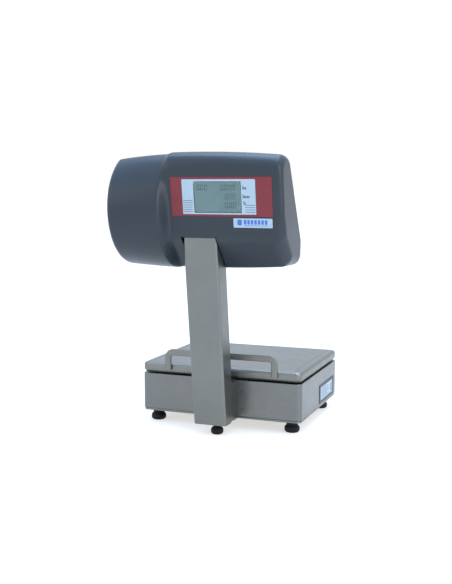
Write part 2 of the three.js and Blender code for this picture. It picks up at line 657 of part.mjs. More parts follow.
function addOperatorSide() {
  keyPlaces().forEach(({ x, y }, i) => {
    add(operatorSide, `key_${KEY_NAMES[i]}`, keyGeometry(), keyGrey).position.set(x, y, 0);
  });
  const overlay = roundedOutline(...OVERLAY.x, ...OVERLAY.y, 2);
  add(operatorSide, 'keyboard_overlay', plate(overlay, -0.8 + GAP, 0.4, 2), keyboardBlue);
  const glass = roundedOutline(...OPERATOR_WINDOW.x, ...OPERATOR_WINDOW.y, 2);
  add(operatorSide, 'operator_window', plate(glass, -1.2 + GAP, 0.4, 2), clearGlass);
  const { x, y } = OPERATOR_WINDOW;
  add(operatorSide, 'operator_display', block([x[0] + 8, x[1] - 8], [y[0] + 4, y[1] - 4], [-12, -4]), lcdGlass);
  add(operatorSide, 'main_board', block([-160, 52], [-50, 42], [-13, -11.4]), boardGreen);

  const door = block(DOOR.x, [DOOR.y[0], DOOR.y[1] - DOOR.hinge], [-HEAD.wall, 0]);
  const barrel = rod('x', 2.6, ...DOOR.x, HINGE_AT, 16);
  const rib = (at) => block([at, at + 1.5], [DOOR.y[0] + 14, DOOR.y[1] - 8], [-6, -HEAD.wall + 0.5]);
  const pin = rod('x', 1.5, DOOR.x[0] - 3.8, DOOR.x[1] + 3.8, HINGE_AT, 16);
  const grip = rod('x', 1.2, DOOR.x[0] + 20, DOOR.x[1] - 20, [DOOR.y[0] + 3, 0.4], 12);
  add(operatorSide, 'printer_door', join(door, barrel, pin, grip, rib(DOOR.x[0] + 6), rib(DOOR.x[1] - 7.5)),
    headPlastic);
}

function addCustomerSide() {
  const low = -1 + GAP;
  const ring = (outer, inner, top) => cut(
    plate(roundedOutline(...outer.x, ...outer.y, 1.5), low, top, 2),
    block([inner.x[0] - GAP, inner.x[1] + GAP], [inner.y[0] - GAP, inner.y[1] + GAP], [low - 1, top + 1]),
  );
  add(customerSide, 'display_fascia', ring(FASCIA, BEZEL, 0.5), redPlastic);
  add(customerSide, 'display_bezel', ring(BEZEL, WINDOW, 0.6), whitePlastic);
  const glass = roundedOutline(...WINDOW.x, ...WINDOW.y, 0.5);
  add(customerSide, 'display_window', plate(glass, low, 0.5, 1), clearGlass);
  const [left, right] = WINDOW.x;
  const [bottom, top] = WINDOW.y;
  add(customerSide, 'customer_display',
    block([left + 1, right - 1], [bottom + 1, top - 1], [-9, -1]), lcdGlass);
  const label = roundedOutline(...NAME_PLATE.x, ...NAME_PLATE.y, 1);
  add(customerSide, 'name_plate', plate(label, GAP, 1, 2), whitePlastic);
}

// ---- label printer ---------------------------------------------------------------------
// Everything hangs on one upright side plate; paper runs on the plate's -X side.
const PLATE_X = [-66, -63];
const MODULE = 1.5;
const PLATEN = { y: -30, z: 404, r: 8, teeth: 18 };
const REWIND = { y: -78, z: 388, r: 10, teeth: 24 };
const PINION = { teeth: 16 };
const ROLL = { y: -97, z: 462, r: 46, core: 13, width: 60 };
const GUIDE = { y: -58, z: 404, r: 6 };
const ARM = { y: -50, z: 428 };
const PAPER_X = [-132, -68];

const pitchRadius = (teeth) => (MODULE * teeth) / 2;

// The pinion drives both gears, so its centre is one pitch distance from each.
function pinionCentre() {
  const from = new THREE.Vector2(PLATEN.y, PLATEN.z);
  const to = new THREE.Vector2(REWIND.y, REWIND.z);
  const reachA = pitchRadius(PLATEN.teeth) + pitchRadius(PINION.teeth);
  const reachB = pitchRadius(REWIND.teeth) + pitchRadius(PINION.teeth);
  const apart = from.distanceTo(to);
  const along = (reachA ** 2 - reachB ** 2 + apart ** 2) / (2 * apart);
  const aside = Math.sqrt(reachA ** 2 - along ** 2);
  const line = to.clone().sub(from).normalize();
  return from.addScaledVector(line, along).add(new THREE.Vector2(line.y, -line.x).multiplyScalar(aside));
}

// A spur gear seen along +X, with a tooth pointing at the given angle in the Y-Z plane.
function gear(teeth, toothAngle, bore, x0, x1) {
  const pitch = pitchRadius(teeth);
  const shape = new THREE.Shape();
  const step = (Math.PI * 2) / teeth;
  for (let i = 0; i < teeth; i += 1) {
    const middle = toothAngle + i * step;
    const corners = [[-0.26, pitch - 1.15 * MODULE], [-0.11, pitch + 0.8 * MODULE],
      [0.11, pitch + 0.8 * MODULE], [0.26, pitch - 1.15 * MODULE]];
    for (const [turn, radius] of corners) {
      const angle = middle + turn * step;
      const place = [radius * Math.cos(angle), radius * Math.sin(angle)];
      if (i === 0 && turn === -0.26) shape.moveTo(...place);
      else shape.lineTo(...place);
    }
  }
  const hole = new THREE.Path();
  hole.absarc(0, 0, bore, 0, Math.PI * 2);
  shape.holes.push(hole);
  return alongX(shape, x0, x1);
}

function addPrinter() {
  const centre = pinionCentre();
  const pinion = { y: centre.x, z: centre.y };
  const studs = [
    rod('x', 4, PAPER_X[0] - 2, PLATE_X[0] + 1, [ROLL.y, ROLL.z], 16),
    rod('x', 2, PAPER_X[0] - 2, PLATE_X[0] + 1, [GUIDE.y, GUIDE.z], 12),
    rod('x', 2, PAPER_X[0] - 2, PLATE_X[0] + 1, [ARM.y, ARM.z], 12),
    rod('x', 2.5, PLATE_X[1] - 1, -55.3, [pinion.y - 15, pinion.z + 17], 12),
    rod('x', 2.5, PLATE_X[1] - 1, -55.3, [pinion.y + 15, pinion.z + 17], 12),
  ];
  const plateShape = profile([
    [-17, 372], [-17, 404], [-36, 436], [-50, 478], [-97, 490], [-120, 462], [-112, 400], [-92, 368],
  ], ...PLATE_X);
  const shaftHole = ({ y, z }, radius) => rod('x', radius, PLATE_X[0] - 5, PLATE_X[1] + 5, [y, z], 16);
  const holes = [shaftHole(PLATEN, 3.3), shaftHole(REWIND, 3.3), shaftHole(pinion, 6)];
  add(scale, 'printer_frame', cut(join(plateShape, ...studs), ...holes), zincSteel);

  const at = (mesh, { y, z }) => mesh.position.set(0, y, z);
  const hub = cut(
    join(rod('x', ROLL.core - GAP, PAPER_X[0] + 2, PLATE_X[0] - 1.5, [0, 0], 24),
      rod('x', 30, PAPER_X[0] - 0.5, PAPER_X[0] + 2.2, [0, 0], 24)),
    rod('x', 4 + GAP, -200, 0, [0, 0], 16));
  at(add(scale, 'roll_hub', hub, blackPlastic), ROLL);
  const rollBody = cut(rod('x', ROLL.r, PAPER_X[0] + 3, PAPER_X[1] + 0.2, [0, 0], 40),
    rod('x', ROLL.core, -200, 0, [0, 0], 24));
  at(add(scale, 'label_roll', rollBody, paper), ROLL);

  const guide = cut(rod('x', GUIDE.r, ...PAPER_X, [0, 0], 20), rod('x', 2 + GAP, -200, 0, [0, 0], 12));
  at(add(scale, 'guide_roller', guide, blackPlastic), GUIDE);

  const platen = join(rod('x', PLATEN.r, ...PAPER_X, [0, 0], 28), rod('x', 3, PAPER_X[0] - 3, -55, [0, 0], 16));
  at(add(scale, 'platen_roller', platen, rubber), PLATEN);
  const spool = join(rod('x', REWIND.r, ...PAPER_X, [0, 0], 24),
    rod('x', 18, PAPER_X[0] - 1.5, PAPER_X[0], [0, 0], 28), rod('x', 3, PAPER_X[0], -55, [0, 0], 16));
  at(add(scale, 'liner_rewinder', spool, blackPlastic), REWIND);

  const gearX = [-61.5, -56.5];
  const towards = (a, b) => Math.atan2(b.z - a.z, b.y - a.y);
  const halfTooth = (teeth) => Math.PI / teeth;
  const toPlaten = towards(pinion, PLATEN);
  const pinionGear = gear(PINION.teeth, toPlaten, 2.5 + GAP, ...gearX);
  at(add(scale, 'motor_pinion', pinionGear, whitePlastic), pinion);
  const platenTurn = toPlaten + Math.PI + halfTooth(PLATEN.teeth);
  at(add(scale, 'platen_gear', gear(PLATEN.teeth, platenTurn, 3 + GAP, ...gearX), whitePlastic), PLATEN);
  // Where the pinion's teeth stand as seen from the rewinder sets the rewinder gear's phase.
  const toRewind = towards(pinion, REWIND);
  const ahead = ((toRewind - toPlaten) / (Math.PI * 2)) * PINION.teeth;
  const phase = (ahead - Math.floor(ahead)) * (Math.PI * 2 / REWIND.teeth);
  const rewindTurn = toRewind + Math.PI + halfTooth(REWIND.teeth) + phase;
  at(add(scale, 'rewinder_gear', gear(REWIND.teeth, rewindTurn, 3 + GAP, ...gearX), whitePlastic), REWIND);

  const motor = join(
    rod('x', 16, -53, -22, [0, 0], 28),
    block([-55, -53.2 + 0.5], [-21, 21], [-21, 21]),
    rod('x', 2.5, -65, -54, [0, 0], 16));
  at(add(scale, 'feed_motor', motor, blackPlastic), pinion);

  const headBlock = block([PAPER_X[0] + 1, PAPER_X[1] - 1], [-44, -27], [PLATEN.z + PLATEN.r + 0.5, 417]);
  add(scale, 'print_head', headBlock, aluminium);
  const arm = join(
    rod('x', 4, PAPER_X[0], PAPER_X[1], [ARM.y, ARM.z], 20),
    block([PAPER_X[0], PAPER_X[1]], [-49, -28], [417.3, 420]),
    block([PAPER_X[0], PAPER_X[0] + 2], [-53, -44], [418, 428]),
    block([PAPER_X[1] - 2, PAPER_X[1]], [-53, -44], [418, 428]),
    block([PAPER_X[0], PAPER_X[1]], [-50, -47], [418, 428]),
    block([PAPER_X[0] - 9, PAPER_X[0] + 1], [-46, -34], [418, 420]),
  );
  add(scale, 'head_arm', cut(arm, rod('x', 2 + GAP, -200, 0, [ARM.y, ARM.z], 12)), leverGreen);
  add(scale, 'peel_bar', join(
    block([PAPER_X[0], PLATE_X[0] - GAP], [-22.5, -17], [PLATEN.z + 5.6, PLATEN.z + 7.2]),
    block([PLATE_X[0] - 1.8, PLATE_X[0] - GAP], [-22.5, -16], [390, PLATEN.z + 6]),
  ), steel);
}

addBase();
addPowerSupply();
addOutlets();
addFeet();
addPan();
addColumn();
addHeadShells();
addOperatorSide();
addCustomerSide();
addPrinter();

export default scale;
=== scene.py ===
from math import acos, atan2, cos, degrees, pi, radians, sin, sqrt, tan
from types import SimpleNamespace as Sizes

import bmesh
import bpy
from mathutils import Matrix, Vector


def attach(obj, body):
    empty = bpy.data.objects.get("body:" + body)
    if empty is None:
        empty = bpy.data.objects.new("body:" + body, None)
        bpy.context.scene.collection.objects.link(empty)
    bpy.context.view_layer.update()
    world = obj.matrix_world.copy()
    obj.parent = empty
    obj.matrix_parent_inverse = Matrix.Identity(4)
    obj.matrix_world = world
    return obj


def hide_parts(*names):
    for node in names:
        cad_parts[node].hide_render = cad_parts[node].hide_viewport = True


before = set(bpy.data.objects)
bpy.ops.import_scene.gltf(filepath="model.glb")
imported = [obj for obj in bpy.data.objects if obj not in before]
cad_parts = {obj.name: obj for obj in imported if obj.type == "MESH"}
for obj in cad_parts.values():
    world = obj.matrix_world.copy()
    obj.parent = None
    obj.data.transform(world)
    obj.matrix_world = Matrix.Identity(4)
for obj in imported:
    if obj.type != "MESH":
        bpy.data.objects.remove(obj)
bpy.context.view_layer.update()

MM = 0.001
CENTRE_Y = 68.25
GAP = 0.3
SHEET = 1.5

TO_ROW = Matrix.Scale(MM, 4) @ Matrix.Translation((0, -CENTRE_Y, 0))

BASE = Sizes(half=179.2, depth=295.0, bottom=24.5, top=106.4, corner=12.0, lip=5.0)
PAN = Sizes(top=130.0, rim=109.2, inset=0.5, edge=6.0, step=3.0, skirt=4.0)
RAIL = Sizes(x=3.5, span=119.5, top=156.5, width=14.0, thick=5.0, foot=117.4, bend=12.0)
COLUMN = Sizes(x=5.3, width=71.0, depth=45.0, front=-64.0, length=420.0, low=23.0, bend=6.0, corner=17.0)
POCKET = Sizes(clear=1.5, around=9.5, lip=3.0, below_top=7.0, sink=0.7)
HEAD = Sizes(half=179.5, bottom=347.0, top=576.0, wall=3.0, arch_top=8.0, arch_bottom=7.0,
             y=-70.0, z=462.0, step_from=-50.0, step_to=-71.0,
             front=-66.0, knee=408.0, low_back=396.0, back=2.5)
END_ROUND = Sizes(display=14.0, low_front=26.0, drum=10.0)
DRUM = Sizes(y=-43.5, z=467.0, depth=115.0, above=30.0, taper=20.0, below=4.0, start=268.0, end=126.5,
             roof_y=-108.0, roof_slope=0.45)
LEAN = radians(7.7)
DISPLAY_FACE = Vector((0, -130, 455))
SLOPE = radians(29.0)
PANEL_FACE = Vector((0, -36, 460))
SHELL_JOIN = -9.0
# Rectangles are (x0, x1, y0, y1) in the axes of the face they lie on; OUTLETS are (y0, y1, z0, z1).
FASCIA = (-47.5, 159.5, -3, 73)
BEZEL = (-23.5, 126.5, 1, 68.5)
WINDOW = (0.5, 97.5, 4, 64)
NAME_PLATE = (80, 158, -24, -6)
DOOR = (70, 150, -47, 76)
DOOR_GAP = 0.8
LABEL_EXIT = 9.0
OPERATOR_WINDOW = (-150, 30, 48, 80)
OVERLAY = (-96, 54, -48, 38)
KEYPAD = Sizes(x=-157.0, y=-48.0, pitch_x=19.0, pitch_y=21.5, key=15.0)
KEY_NAMES = ["00", "0", "clear", "1", "2", "3", "4", "5", "6", "7", "8", "9"]
LOAD_OPENING = (-60, 110, 95, 200)
OUTLETS = {
    "power_inlet": (203, 230, 42, 62),
    "switch_frame": (174, 196, 42, 62),
    "data_socket": (144, 164, 44, 60),
}
DATA_PLATE = Vector((BASE.half, 207, 54))
ROLL = Sizes(at=(-97.0, 462.0), radius=46.0, core=13.0, start=-129.0, end=-67.8)
GUIDE = Sizes(at=(-58.0, 404.0), radius=6.0)
PLATEN = Sizes(at=(-30.0, 404.0), radius=8.0)
REWINDER = Sizes(at=(-78.0, 388.0), radius=10.0)
WEB = (-131.0, -69.0)
PAPER_THICK = 0.15
FEET = {
    "customer_left": (-153, 27),
    "customer_right": (153, 27),
    "operator_left": (153, 252),
    "operator_right": (-153, 252),
    "column": (12.5, -43),
}


def axes(right, up, out, origin):
    turned = Matrix((right, up, out)).transposed().to_4x4()
    return Matrix.Translation(origin) @ turned


DISPLAY_AXES = axes((1, 0, 0), (0, -sin(LEAN), cos(LEAN)),
                    (0, -cos(LEAN), -sin(LEAN)), DISPLAY_FACE)
PANEL_AXES = axes((-1, 0, 0), (0, -sin(SLOPE), cos(SLOPE)),
                  (0, cos(SLOPE), sin(SLOPE)), PANEL_FACE)
COLUMN_AXES = Matrix.Translation((COLUMN.x, COLUMN.front, 0)) @ Matrix.Rotation(LEAN, 4, "X")
RIGHT_WALL_AXES = axes((0, 1, 0), (0, 0, 1), (1, 0, 0), DATA_PLATE)
LEFT_WALL_AXES = axes((0, -1, 0), (0, 0, 1), (-1, 0, 0), Vector((-BASE.half, 0, 0)))
PLAIN = Matrix.Identity(4)


# ---- materials --------------------------------------------------------------------------
class Recipe:
    """Builds the node tree of a material or of the world."""

    def __init__(self, name, kind="materials"):
        self.owner = getattr(bpy.data, kind).new(name)
        self.owner.use_nodes = True
        self.tree = self.owner.node_tree
        self.tree.nodes.clear()

    def node(self, kind, inputs=None, **properties):
        made = self.tree.nodes.new(kind)
        for key, value in properties.items():
            setattr(made, key, value)
        for key, value in (inputs or {}).items():
            socket = made.inputs[key]
            if isinstance(value, bpy.types.NodeSocket):
                self.tree.links.new(value, socket)
            else:
                socket.default_value = value
        return made

    def coordinates(self, **mapping):
        """The object's own coordinates, in metres, scaled or moved."""
        place = self.node("ShaderNodeTexCoord").outputs["Object"]
        return self.node("ShaderNodeMapping", {"Vector": place, **mapping}).outputs[0]

    def noise(self, scale, detail, roughness, distortion=0.0, stretch=(1, 1, 1)):
        made = self.node("ShaderNodeTexNoise", {
            "Vector": self.coordinates(Scale=stretch), "Scale": scale, "Detail": detail,
            "Roughness": roughness, "Distortion": distortion})
        return made.outputs["Fac"]

    def ramp(self, value, *stops):
        made = self.node("ShaderNodeValToRGB", {"Fac": value})
        elements = made.color_ramp.elements
        while len(elements) < len(stops):
            elements.new(0.5)
        for element, (position, *colour) in zip(elements, stops):
            element.position = position
            element.color = (*colour, 1)
        return made.outputs["Color"]

    def peaks(self, value, low, high):
        """Black up to a value, then white from a higher one."""
        return self.ramp(value, (0, 0, 0, 0), (low, 0, 0, 0), (high, 1, 1, 1))

    def range(self, value, low, high, from_low=0.3, from_high=0.7):
        return self.node("ShaderNodeMapRange", {
            "Value": value, "From Min": from_low, "From Max": from_high,
            "To Min": low, "To Max": high}).outputs[0]

    def clouded(self, clouds, colour, tint):
        """A colour that drifts a little lighter and darker with the clouds."""
        return self.mix(self.range(clouds, 0, 1), shade(colour, 1 - tint), shade(colour, 1 + tint))

    def mix(self, factor, first, second):
        """A colour mix; the colour sockets of this node are numbers 6, 7 and 2."""
        colours = [(*value, 1) if isinstance(value, tuple) else value for value in (first, second)]
        inputs = {0: factor, 6: colours[0], 7: colours[1]}
        return self.node("ShaderNodeMix", inputs, data_type="RGBA").outputs[2]

    def bump(self, height, strength, distance, normal=None):
        inputs = {"Height": height, "Strength": strength, "Distance": distance}
        if normal is not None:
            inputs["Normal"] = normal
        return self.node("ShaderNodeBump", inputs).outputs[0]

    def add(self, first, second, **more):
        return self.node("ShaderNodeMath", {0: first, 1: second}, operation="ADD", **more).outputs[0]

    def finish(self, colour, roughness, more):
        inputs = {"Base Color": colour, "Roughness": roughness, **more}
        shader = self.node("ShaderNodeBsdfPrincipled", inputs)
        self.node("ShaderNodeOutputMaterial", {"Surface": shader.outputs[0]})
        return self.owner


def shade(colour, factor):
    return tuple(channel * factor for channel in colour)


def metal(name, colour, roughness, brushed):
    """Satin sheet metal: fine lines along one axis, cloudy smudges and a few light scratches."""
    recipe = Recipe(name)
    along = {"x": (1.5, 60, 60), "y": (60, 1.5, 60), "z": (60, 60, 1.5), "none": (30, 30, 30)}[brushed]
    lines = recipe.noise(24, 4, 0.7, stretch=along)
    clouds = recipe.noise(11, 4, 0.6)
    smudges = recipe.noise(34, 5, 0.65, 0.8)
    scratch_along = tuple(part * (0.35 if part > 10 else 2.2) for part in along)
    scratches = recipe.peaks(recipe.noise(22, 1, 0.4, stretch=scratch_along), 0.72, 0.76)
    base = recipe.clouded(clouds, colour, 0.07)
    lined = recipe.mix(recipe.range(lines, 0, 0.34, 0.35, 0.65), base, shade(colour, 1.35))
    worn = recipe.mix(recipe.range(scratches, 0, 0.10, 0, 1), lined, shade(colour, 1.8))
    rough = recipe.add(recipe.range(lines, roughness - 0.07, roughness + 0.07),
                       recipe.range(smudges, -0.03, 0.06))
    return recipe.finish(worn, rough, {"Metallic": 1.0, "Normal": recipe.bump(lines, 0.16, 0.00012)})


def moulded(name, colour, roughness, grain=0.3, grain_size=1500.0, specular=0.5):
    """Moulded plastic or rubber: spark-eroded grain, faint flow clouds, light rub marks."""
    recipe = Recipe(name)
    texture = recipe.noise(grain_size, 2, 0.6)
    coarse = recipe.noise(grain_size * 0.35, 2, 0.5)
    clouds = recipe.noise(7, 3, 0.5)
    rubs = recipe.peaks(recipe.noise(14, 3, 0.6, 0.5, (9, 9, 26)), 0.66, 0.8)
    base = recipe.clouded(clouds, colour, 0.06)
    specked = recipe.mix(recipe.range(coarse, 0, 0.3, 0.35, 0.65), base, shade(colour, 1.16))
    worn = recipe.mix(recipe.range(rubs, 0, 0.12, 0, 1), specked, shade(colour, 1.5))
    rough = recipe.add(recipe.range(clouds, roughness - 0.03, roughness + 0.04),
                       recipe.range(texture, -0.04, 0.05))
    normal = recipe.bump(coarse, grain * 0.6, 0.00008, recipe.bump(texture, grain, 0.00005))
    return recipe.finish(worn, rough, {"Normal": normal, "Specular IOR Level": specular})


def printed(name, colour, roughness):
    """Printed film: even colour, a soft satin lacquer with fine dust."""
    recipe = Recipe(name)
    clouds = recipe.noise(40, 3, 0.5)
    dust = recipe.noise(2600, 1, 0.4)
    base = recipe.clouded(clouds, colour, 0.05)
    rough = recipe.range(dust, roughness - 0.05, roughness + 0.09)
    return recipe.finish(base, rough, {"Normal": recipe.bump(dust, 0.12, 0.00003)})


def glass(name, tint_colour, share):
    """A thin clear window: see-through, with a surface gloss that grows at a grazing angle."""
    recipe = Recipe(name)
    smear = recipe.noise(30, 4, 0.6, 1.0)
    clear = recipe.node("ShaderNodeBsdfTransparent", {"Color": (*tint_colour, 1)})
    gloss = recipe.node("ShaderNodeBsdfPrincipled", {
        "Base Color": (*tint_colour, 1), "Roughness": recipe.range(smear, 0.08, 0.2)})
    edge = recipe.node("ShaderNodeFresnel", {"IOR": 1.35})
    amount = recipe.add(edge.outputs[0], share, use_clamp=True)
    both = recipe.node("ShaderNodeMixShader", {0: amount, 1: clear.outputs[0], 2: gloss.outputs[0]})
    recipe.node("ShaderNodeOutputMaterial", {"Surface": both.outputs[0]})
    return recipe.owner


def circuit_board(name):
    """Green solder mask with copper tracks that show through it."""
    recipe = Recipe(name)
    tracks = recipe.node("ShaderNodeTexBrick", {
        "Vector": recipe.coordinates(), "Scale": 160.0, "Mortar Size": 0.03,
        "Color1": (0.012, 0.085, 0.04, 1), "Color2": (0.02, 0.13, 0.06, 1),
        "Mortar": (0.035, 0.2, 0.09, 1)}).outputs["Color"]
    clouds = recipe.noise(25, 3, 0.5)
    base = recipe.mix(recipe.range(clouds, 0, 0.4), tracks, (0.01, 0.06, 0.03))
    return recipe.finish(base, recipe.range(clouds, 0.3, 0.48), {"Normal": recipe.bump(clouds, 0.1, 0.0001)})


def paper(name, colour, ringed=False):
    """Paper stock with fibres; on a wound roll the edges of the turns show as fine rings."""
    recipe = Recipe(name)
    fibres = recipe.noise(900, 4, 0.7)
    clouds = recipe.noise(16, 3, 0.5)
    base = recipe.mix(recipe.range(fibres, 0, 0.5), colour, shade(colour, 0.9))
    toned = recipe.mix(recipe.range(clouds, 0, 0.3), base, shade(colour, 0.86))
    if ringed:
        rings = recipe.node("ShaderNodeTexWave", {
            "Vector": recipe.coordinates(Location=-(TO_ROW @ Vector((0, *ROLL.at)))),
            "Scale": 420.0, "Distortion": 0.6, "Detail": 2.0},
            wave_type="RINGS", rings_direction="X").outputs["Fac"]
        toned = recipe.mix(recipe.range(rings, 0, 0.22, 0, 1), toned, shade(colour, 0.62))
    return recipe.finish(toned, recipe.range(fibres, 0.8, 0.95),
                         {"Normal": recipe.bump(fibres, 0.2, 0.00006), "Specular IOR Level": 0.3})


def lcd(name, colour):
    """Reflective liquid crystal: a grey-green field with a fine pixel-free shimmer."""
    recipe = Recipe(name)
    clouds = recipe.noise(22, 3, 0.5)
    sparkle = recipe.noise(2200, 2, 0.6)
    base = recipe.mix(recipe.range(clouds, 0, 1, 0.25, 0.75), shade(colour, 0.93), shade(colour, 1.06))
    grainy = recipe.mix(recipe.range(sparkle, 0, 0.25), base, shade(colour, 1.12))
    return recipe.finish(grainy, recipe.range(sparkle, 0.3, 0.5),
                         {"Normal": recipe.bump(sparkle, 0.06, 0.00003)})


STEEL = metal("stainless_steel", (0.158, 0.160, 0.150), 0.30, "x")
PAN_STEEL = metal("pan_steel", (0.190, 0.188, 0.168), 0.40, "x")
COLUMN_STEEL = metal("column_steel", (0.172, 0.178, 0.165), 0.36, "z")
ZINC = metal("zinc_steel", (0.50, 0.51, 0.52), 0.42, "none")
ALUMINIUM = metal("cast_aluminium", (0.62, 0.63, 0.64), 0.42, "none")
BRASS = metal("pin_brass", (0.62, 0.50, 0.27), 0.3, "none")
HEAD_PLASTIC = moulded("head_plastic", (0.0185, 0.0265, 0.0345), 0.35, 0.30, 1300, specular=0.34)
BLACK_PLASTIC = moulded("black_plastic", (0.012, 0.012, 0.014), 0.42, grain=0.25)
RED_PLASTIC = moulded("red_plastic", (0.32, 0.02, 0.03), 0.3, grain=0.12)
RED_FILM = printed("red_film", (0.150, 0.008, 0.016), 0.36)
DARK_PRINT = printed("dark_print", (0.018, 0.022, 0.032), 0.4)
BLUE_PRINT = printed("blue_print", (0.035, 0.12, 0.42), 0.35)
PALE_PRINT = printed("pale_print", (0.305, 0.405, 0.475), 0.38)
WHITE_PRINT = printed("white_print", (0.80, 0.80, 0.78), 0.4)
GEAR_PLASTIC = moulded("gear_plastic", (0.68, 0.66, 0.60), 0.42, grain=0.15)
KEY_PLASTIC = moulded("key_plastic", (0.50, 0.52, 0.55), 0.45, grain=0.22)
LEVER_PLASTIC = moulded("lever_plastic", (0.03, 0.25, 0.16), 0.42, grain=0.2)
RUBBER = moulded("platen_rubber", (0.018, 0.018, 0.019), 0.62, grain=0.4, grain_size=2200)
FOOT_RUBBER = moulded("foot_rubber", (0.004, 0.004, 0.005), 0.5, grain=0.3, specular=0.2)
LCD = lcd("display_film", (0.175, 0.258, 0.258))
SEGMENT = printed("lcd_segment", (0.022, 0.035, 0.04), 0.45)
CLEAR = glass("clear_glass", (0.95, 0.98, 0.98), 0.0)
VIAL = glass("vial_glass", (0.70, 0.92, 0.35), 0.05)
BOARD = circuit_board("circuit_board")
KEYBOARD_FILM = printed("keyboard_film", (0.055, 0.095, 0.17), 0.42)
PAPER = paper("label_paper", (0.80, 0.79, 0.75))
ROLL_PAPER = paper("roll_paper", (0.80, 0.79, 0.75), ringed=True)
LINER = paper("liner_paper", (0.62, 0.56, 0.38))


# ---- pieces -----------------------------------------------------------------------------
def add_object(name, data):
    made = bpy.data.objects.new(name, data)
    bpy.context.scene.collection.objects.link(made)
    return made


def piece(name, mesh, material, body, stands_for=(), at=PLAIN, sharp=32, bevel=0.0,
          thick=0.0, offset=-1.0):
    """Turns a bmesh in millimetres into a shown object that rides on a body of the frame."""
    bmesh.ops.transform(mesh, matrix=TO_ROW @ at, verts=mesh.verts)
    data = bpy.data.meshes.new(name)
    mesh.to_mesh(data)
    mesh.free()
    data.materials.append(material)
    data.shade_smooth()
    if not bevel:
        data.set_sharp_from_angle(angle=radians(sharp))
    made = add_object(name, data)
    if thick:
        solid = made.modifiers.new("wall", "SOLIDIFY")
        solid.thickness = thick * MM
        solid.offset = offset
        solid.use_even_offset = True
    if bevel:
        round_edges(made, bevel, sharp)
    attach(made, body)
    if stands_for:
        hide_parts(*stands_for)


def round_edges(obj, width, angle):
    edges = obj.modifiers.new("edges", "BEVEL")
    edges.width = width * MM
    edges.segments = 2
    edges.limit_method = "ANGLE"
    edges.angle_limit = radians(angle)
    edges.use_clamp_overlap = True
    normals = obj.modifiers.new("normals", "WEIGHTED_NORMAL")
    normals.keep_sharp = True
    normals.weight = 80


def arc(cx, cy, radius, start, end, steps):
    """Points on an arc, angles in degrees."""
    return [(cx + radius * cos(radians(start + (end - start) * i / steps)),
             cy + radius * sin(radians(start + (end - start) * i / steps)))
            for i in range(steps + 1)]


def rounded(x0, x1, y0, y1, r, steps=6):
    """A rounded rectangle, counter-clockwise."""
    r = max(r, 0.01)
    return (arc(x1 - r, y0 + r, r, -90, 0, steps) + arc(x1 - r, y1 - r, r, 0, 90, steps)
            + arc(x0 + r, y1 - r, r, 90, 180, steps) + arc(x0 + r, y0 + r, r, 180, 270, steps))


def grown(rect, by):
    """A rectangle (x0, x1, y0, y1) that is wider on every side."""
    return (rect[0] - by, rect[1] + by, rect[2] - by, rect[3] + by)


def join_rows(mesh, rows):
    """Quads between neighbouring rows of vertices, each row a closed ring."""
    for low, high in zip(rows, rows[1:]):
        for k in range(len(low)):
            after = (k + 1) % len(low)
            mesh.faces.new((low[k], low[after], high[after], high[k]))


def loft(mesh, rings, low_cap=True, high_cap=True):
    """Skins rings of equal length, given as lists of 3-D points."""
    rows = [[mesh.verts.new(point) for point in ring] for ring in rings]
    join_rows(mesh, rows)
    if low_cap:
        mesh.faces.new(list(reversed(rows[0])))
    if high_cap:
        mesh.faces.new(rows[-1])


def slab(mesh, outline, z0, z1):
    """A flat outline of (x, y) points between two heights."""
    loft(mesh, [[(x, y, z) for x, y in outline] for z in (z0, z1)])


def plate(outline, z0, z1):
    """A new mesh that holds one slab."""
    mesh = bmesh.new()
    slab(mesh, outline, z0, z1)
    return mesh


def box(mesh, x, y, z):
    slab(mesh, [(x[0], y[0]), (x[1], y[0]), (x[1], y[1]), (x[0], y[1])], z[0], z[1])


def lathe(mesh, outline, sides=48, at=(0, 0, 0), axis="z"):
    """Turns (radius, place along the axis) points into a solid of revolution that closes on itself."""
    turn = {"z": lambda r, h, c, s: (r * c, r * s, h), "x": lambda r, h, c, s: (h, r * c, r * s),
            "y": lambda r, h, c, s: (r * s, h, r * c)}[axis]
    rows = []
    for radius, height in outline:
        angles = [2 * pi * i / sides for i in range(sides)] if radius > 1e-6 else [0.0]
        points = [turn(radius, height, cos(angle), sin(angle)) for angle in angles]
        rows.append([mesh.verts.new(Vector(point) + Vector(at)) for point in points])
    closed = len(rows[0]) > 1
    pairs = list(zip(rows, rows[1:])) + ([(rows[-1], rows[0])] if closed else [])
    for low, high in pairs:
        for i in range(sides):
            j = (i + 1) % sides
            corners = [low[i % len(low)], low[j % len(low)], high[j % len(high)], high[i % len(high)]]
            distinct = list(dict.fromkeys(corners))
            if len(distinct) > 2:
                mesh.faces.new(distinct)


def rod(mesh, axis, radius, start, end, at, chamfer=0.4, sides=40, bore=0.0):
    """A cylinder along an axis with chamfered rims, solid or bored."""
    c = min(chamfer, (end - start) / 3, radius / 3)
    rim = [(radius - c, start), (radius, start + c), (radius, end - c), (radius - c, end)]
    outline = [(bore, start), *rim, (bore, end)] if bore else [(0, start), *rim, (0, end)]
    spot = {"x": (0, at[0], at[1]), "y": (at[0], 0, at[1]), "z": (at[0], at[1], 0)}[axis]
    lathe(mesh, outline, sides, spot, axis)


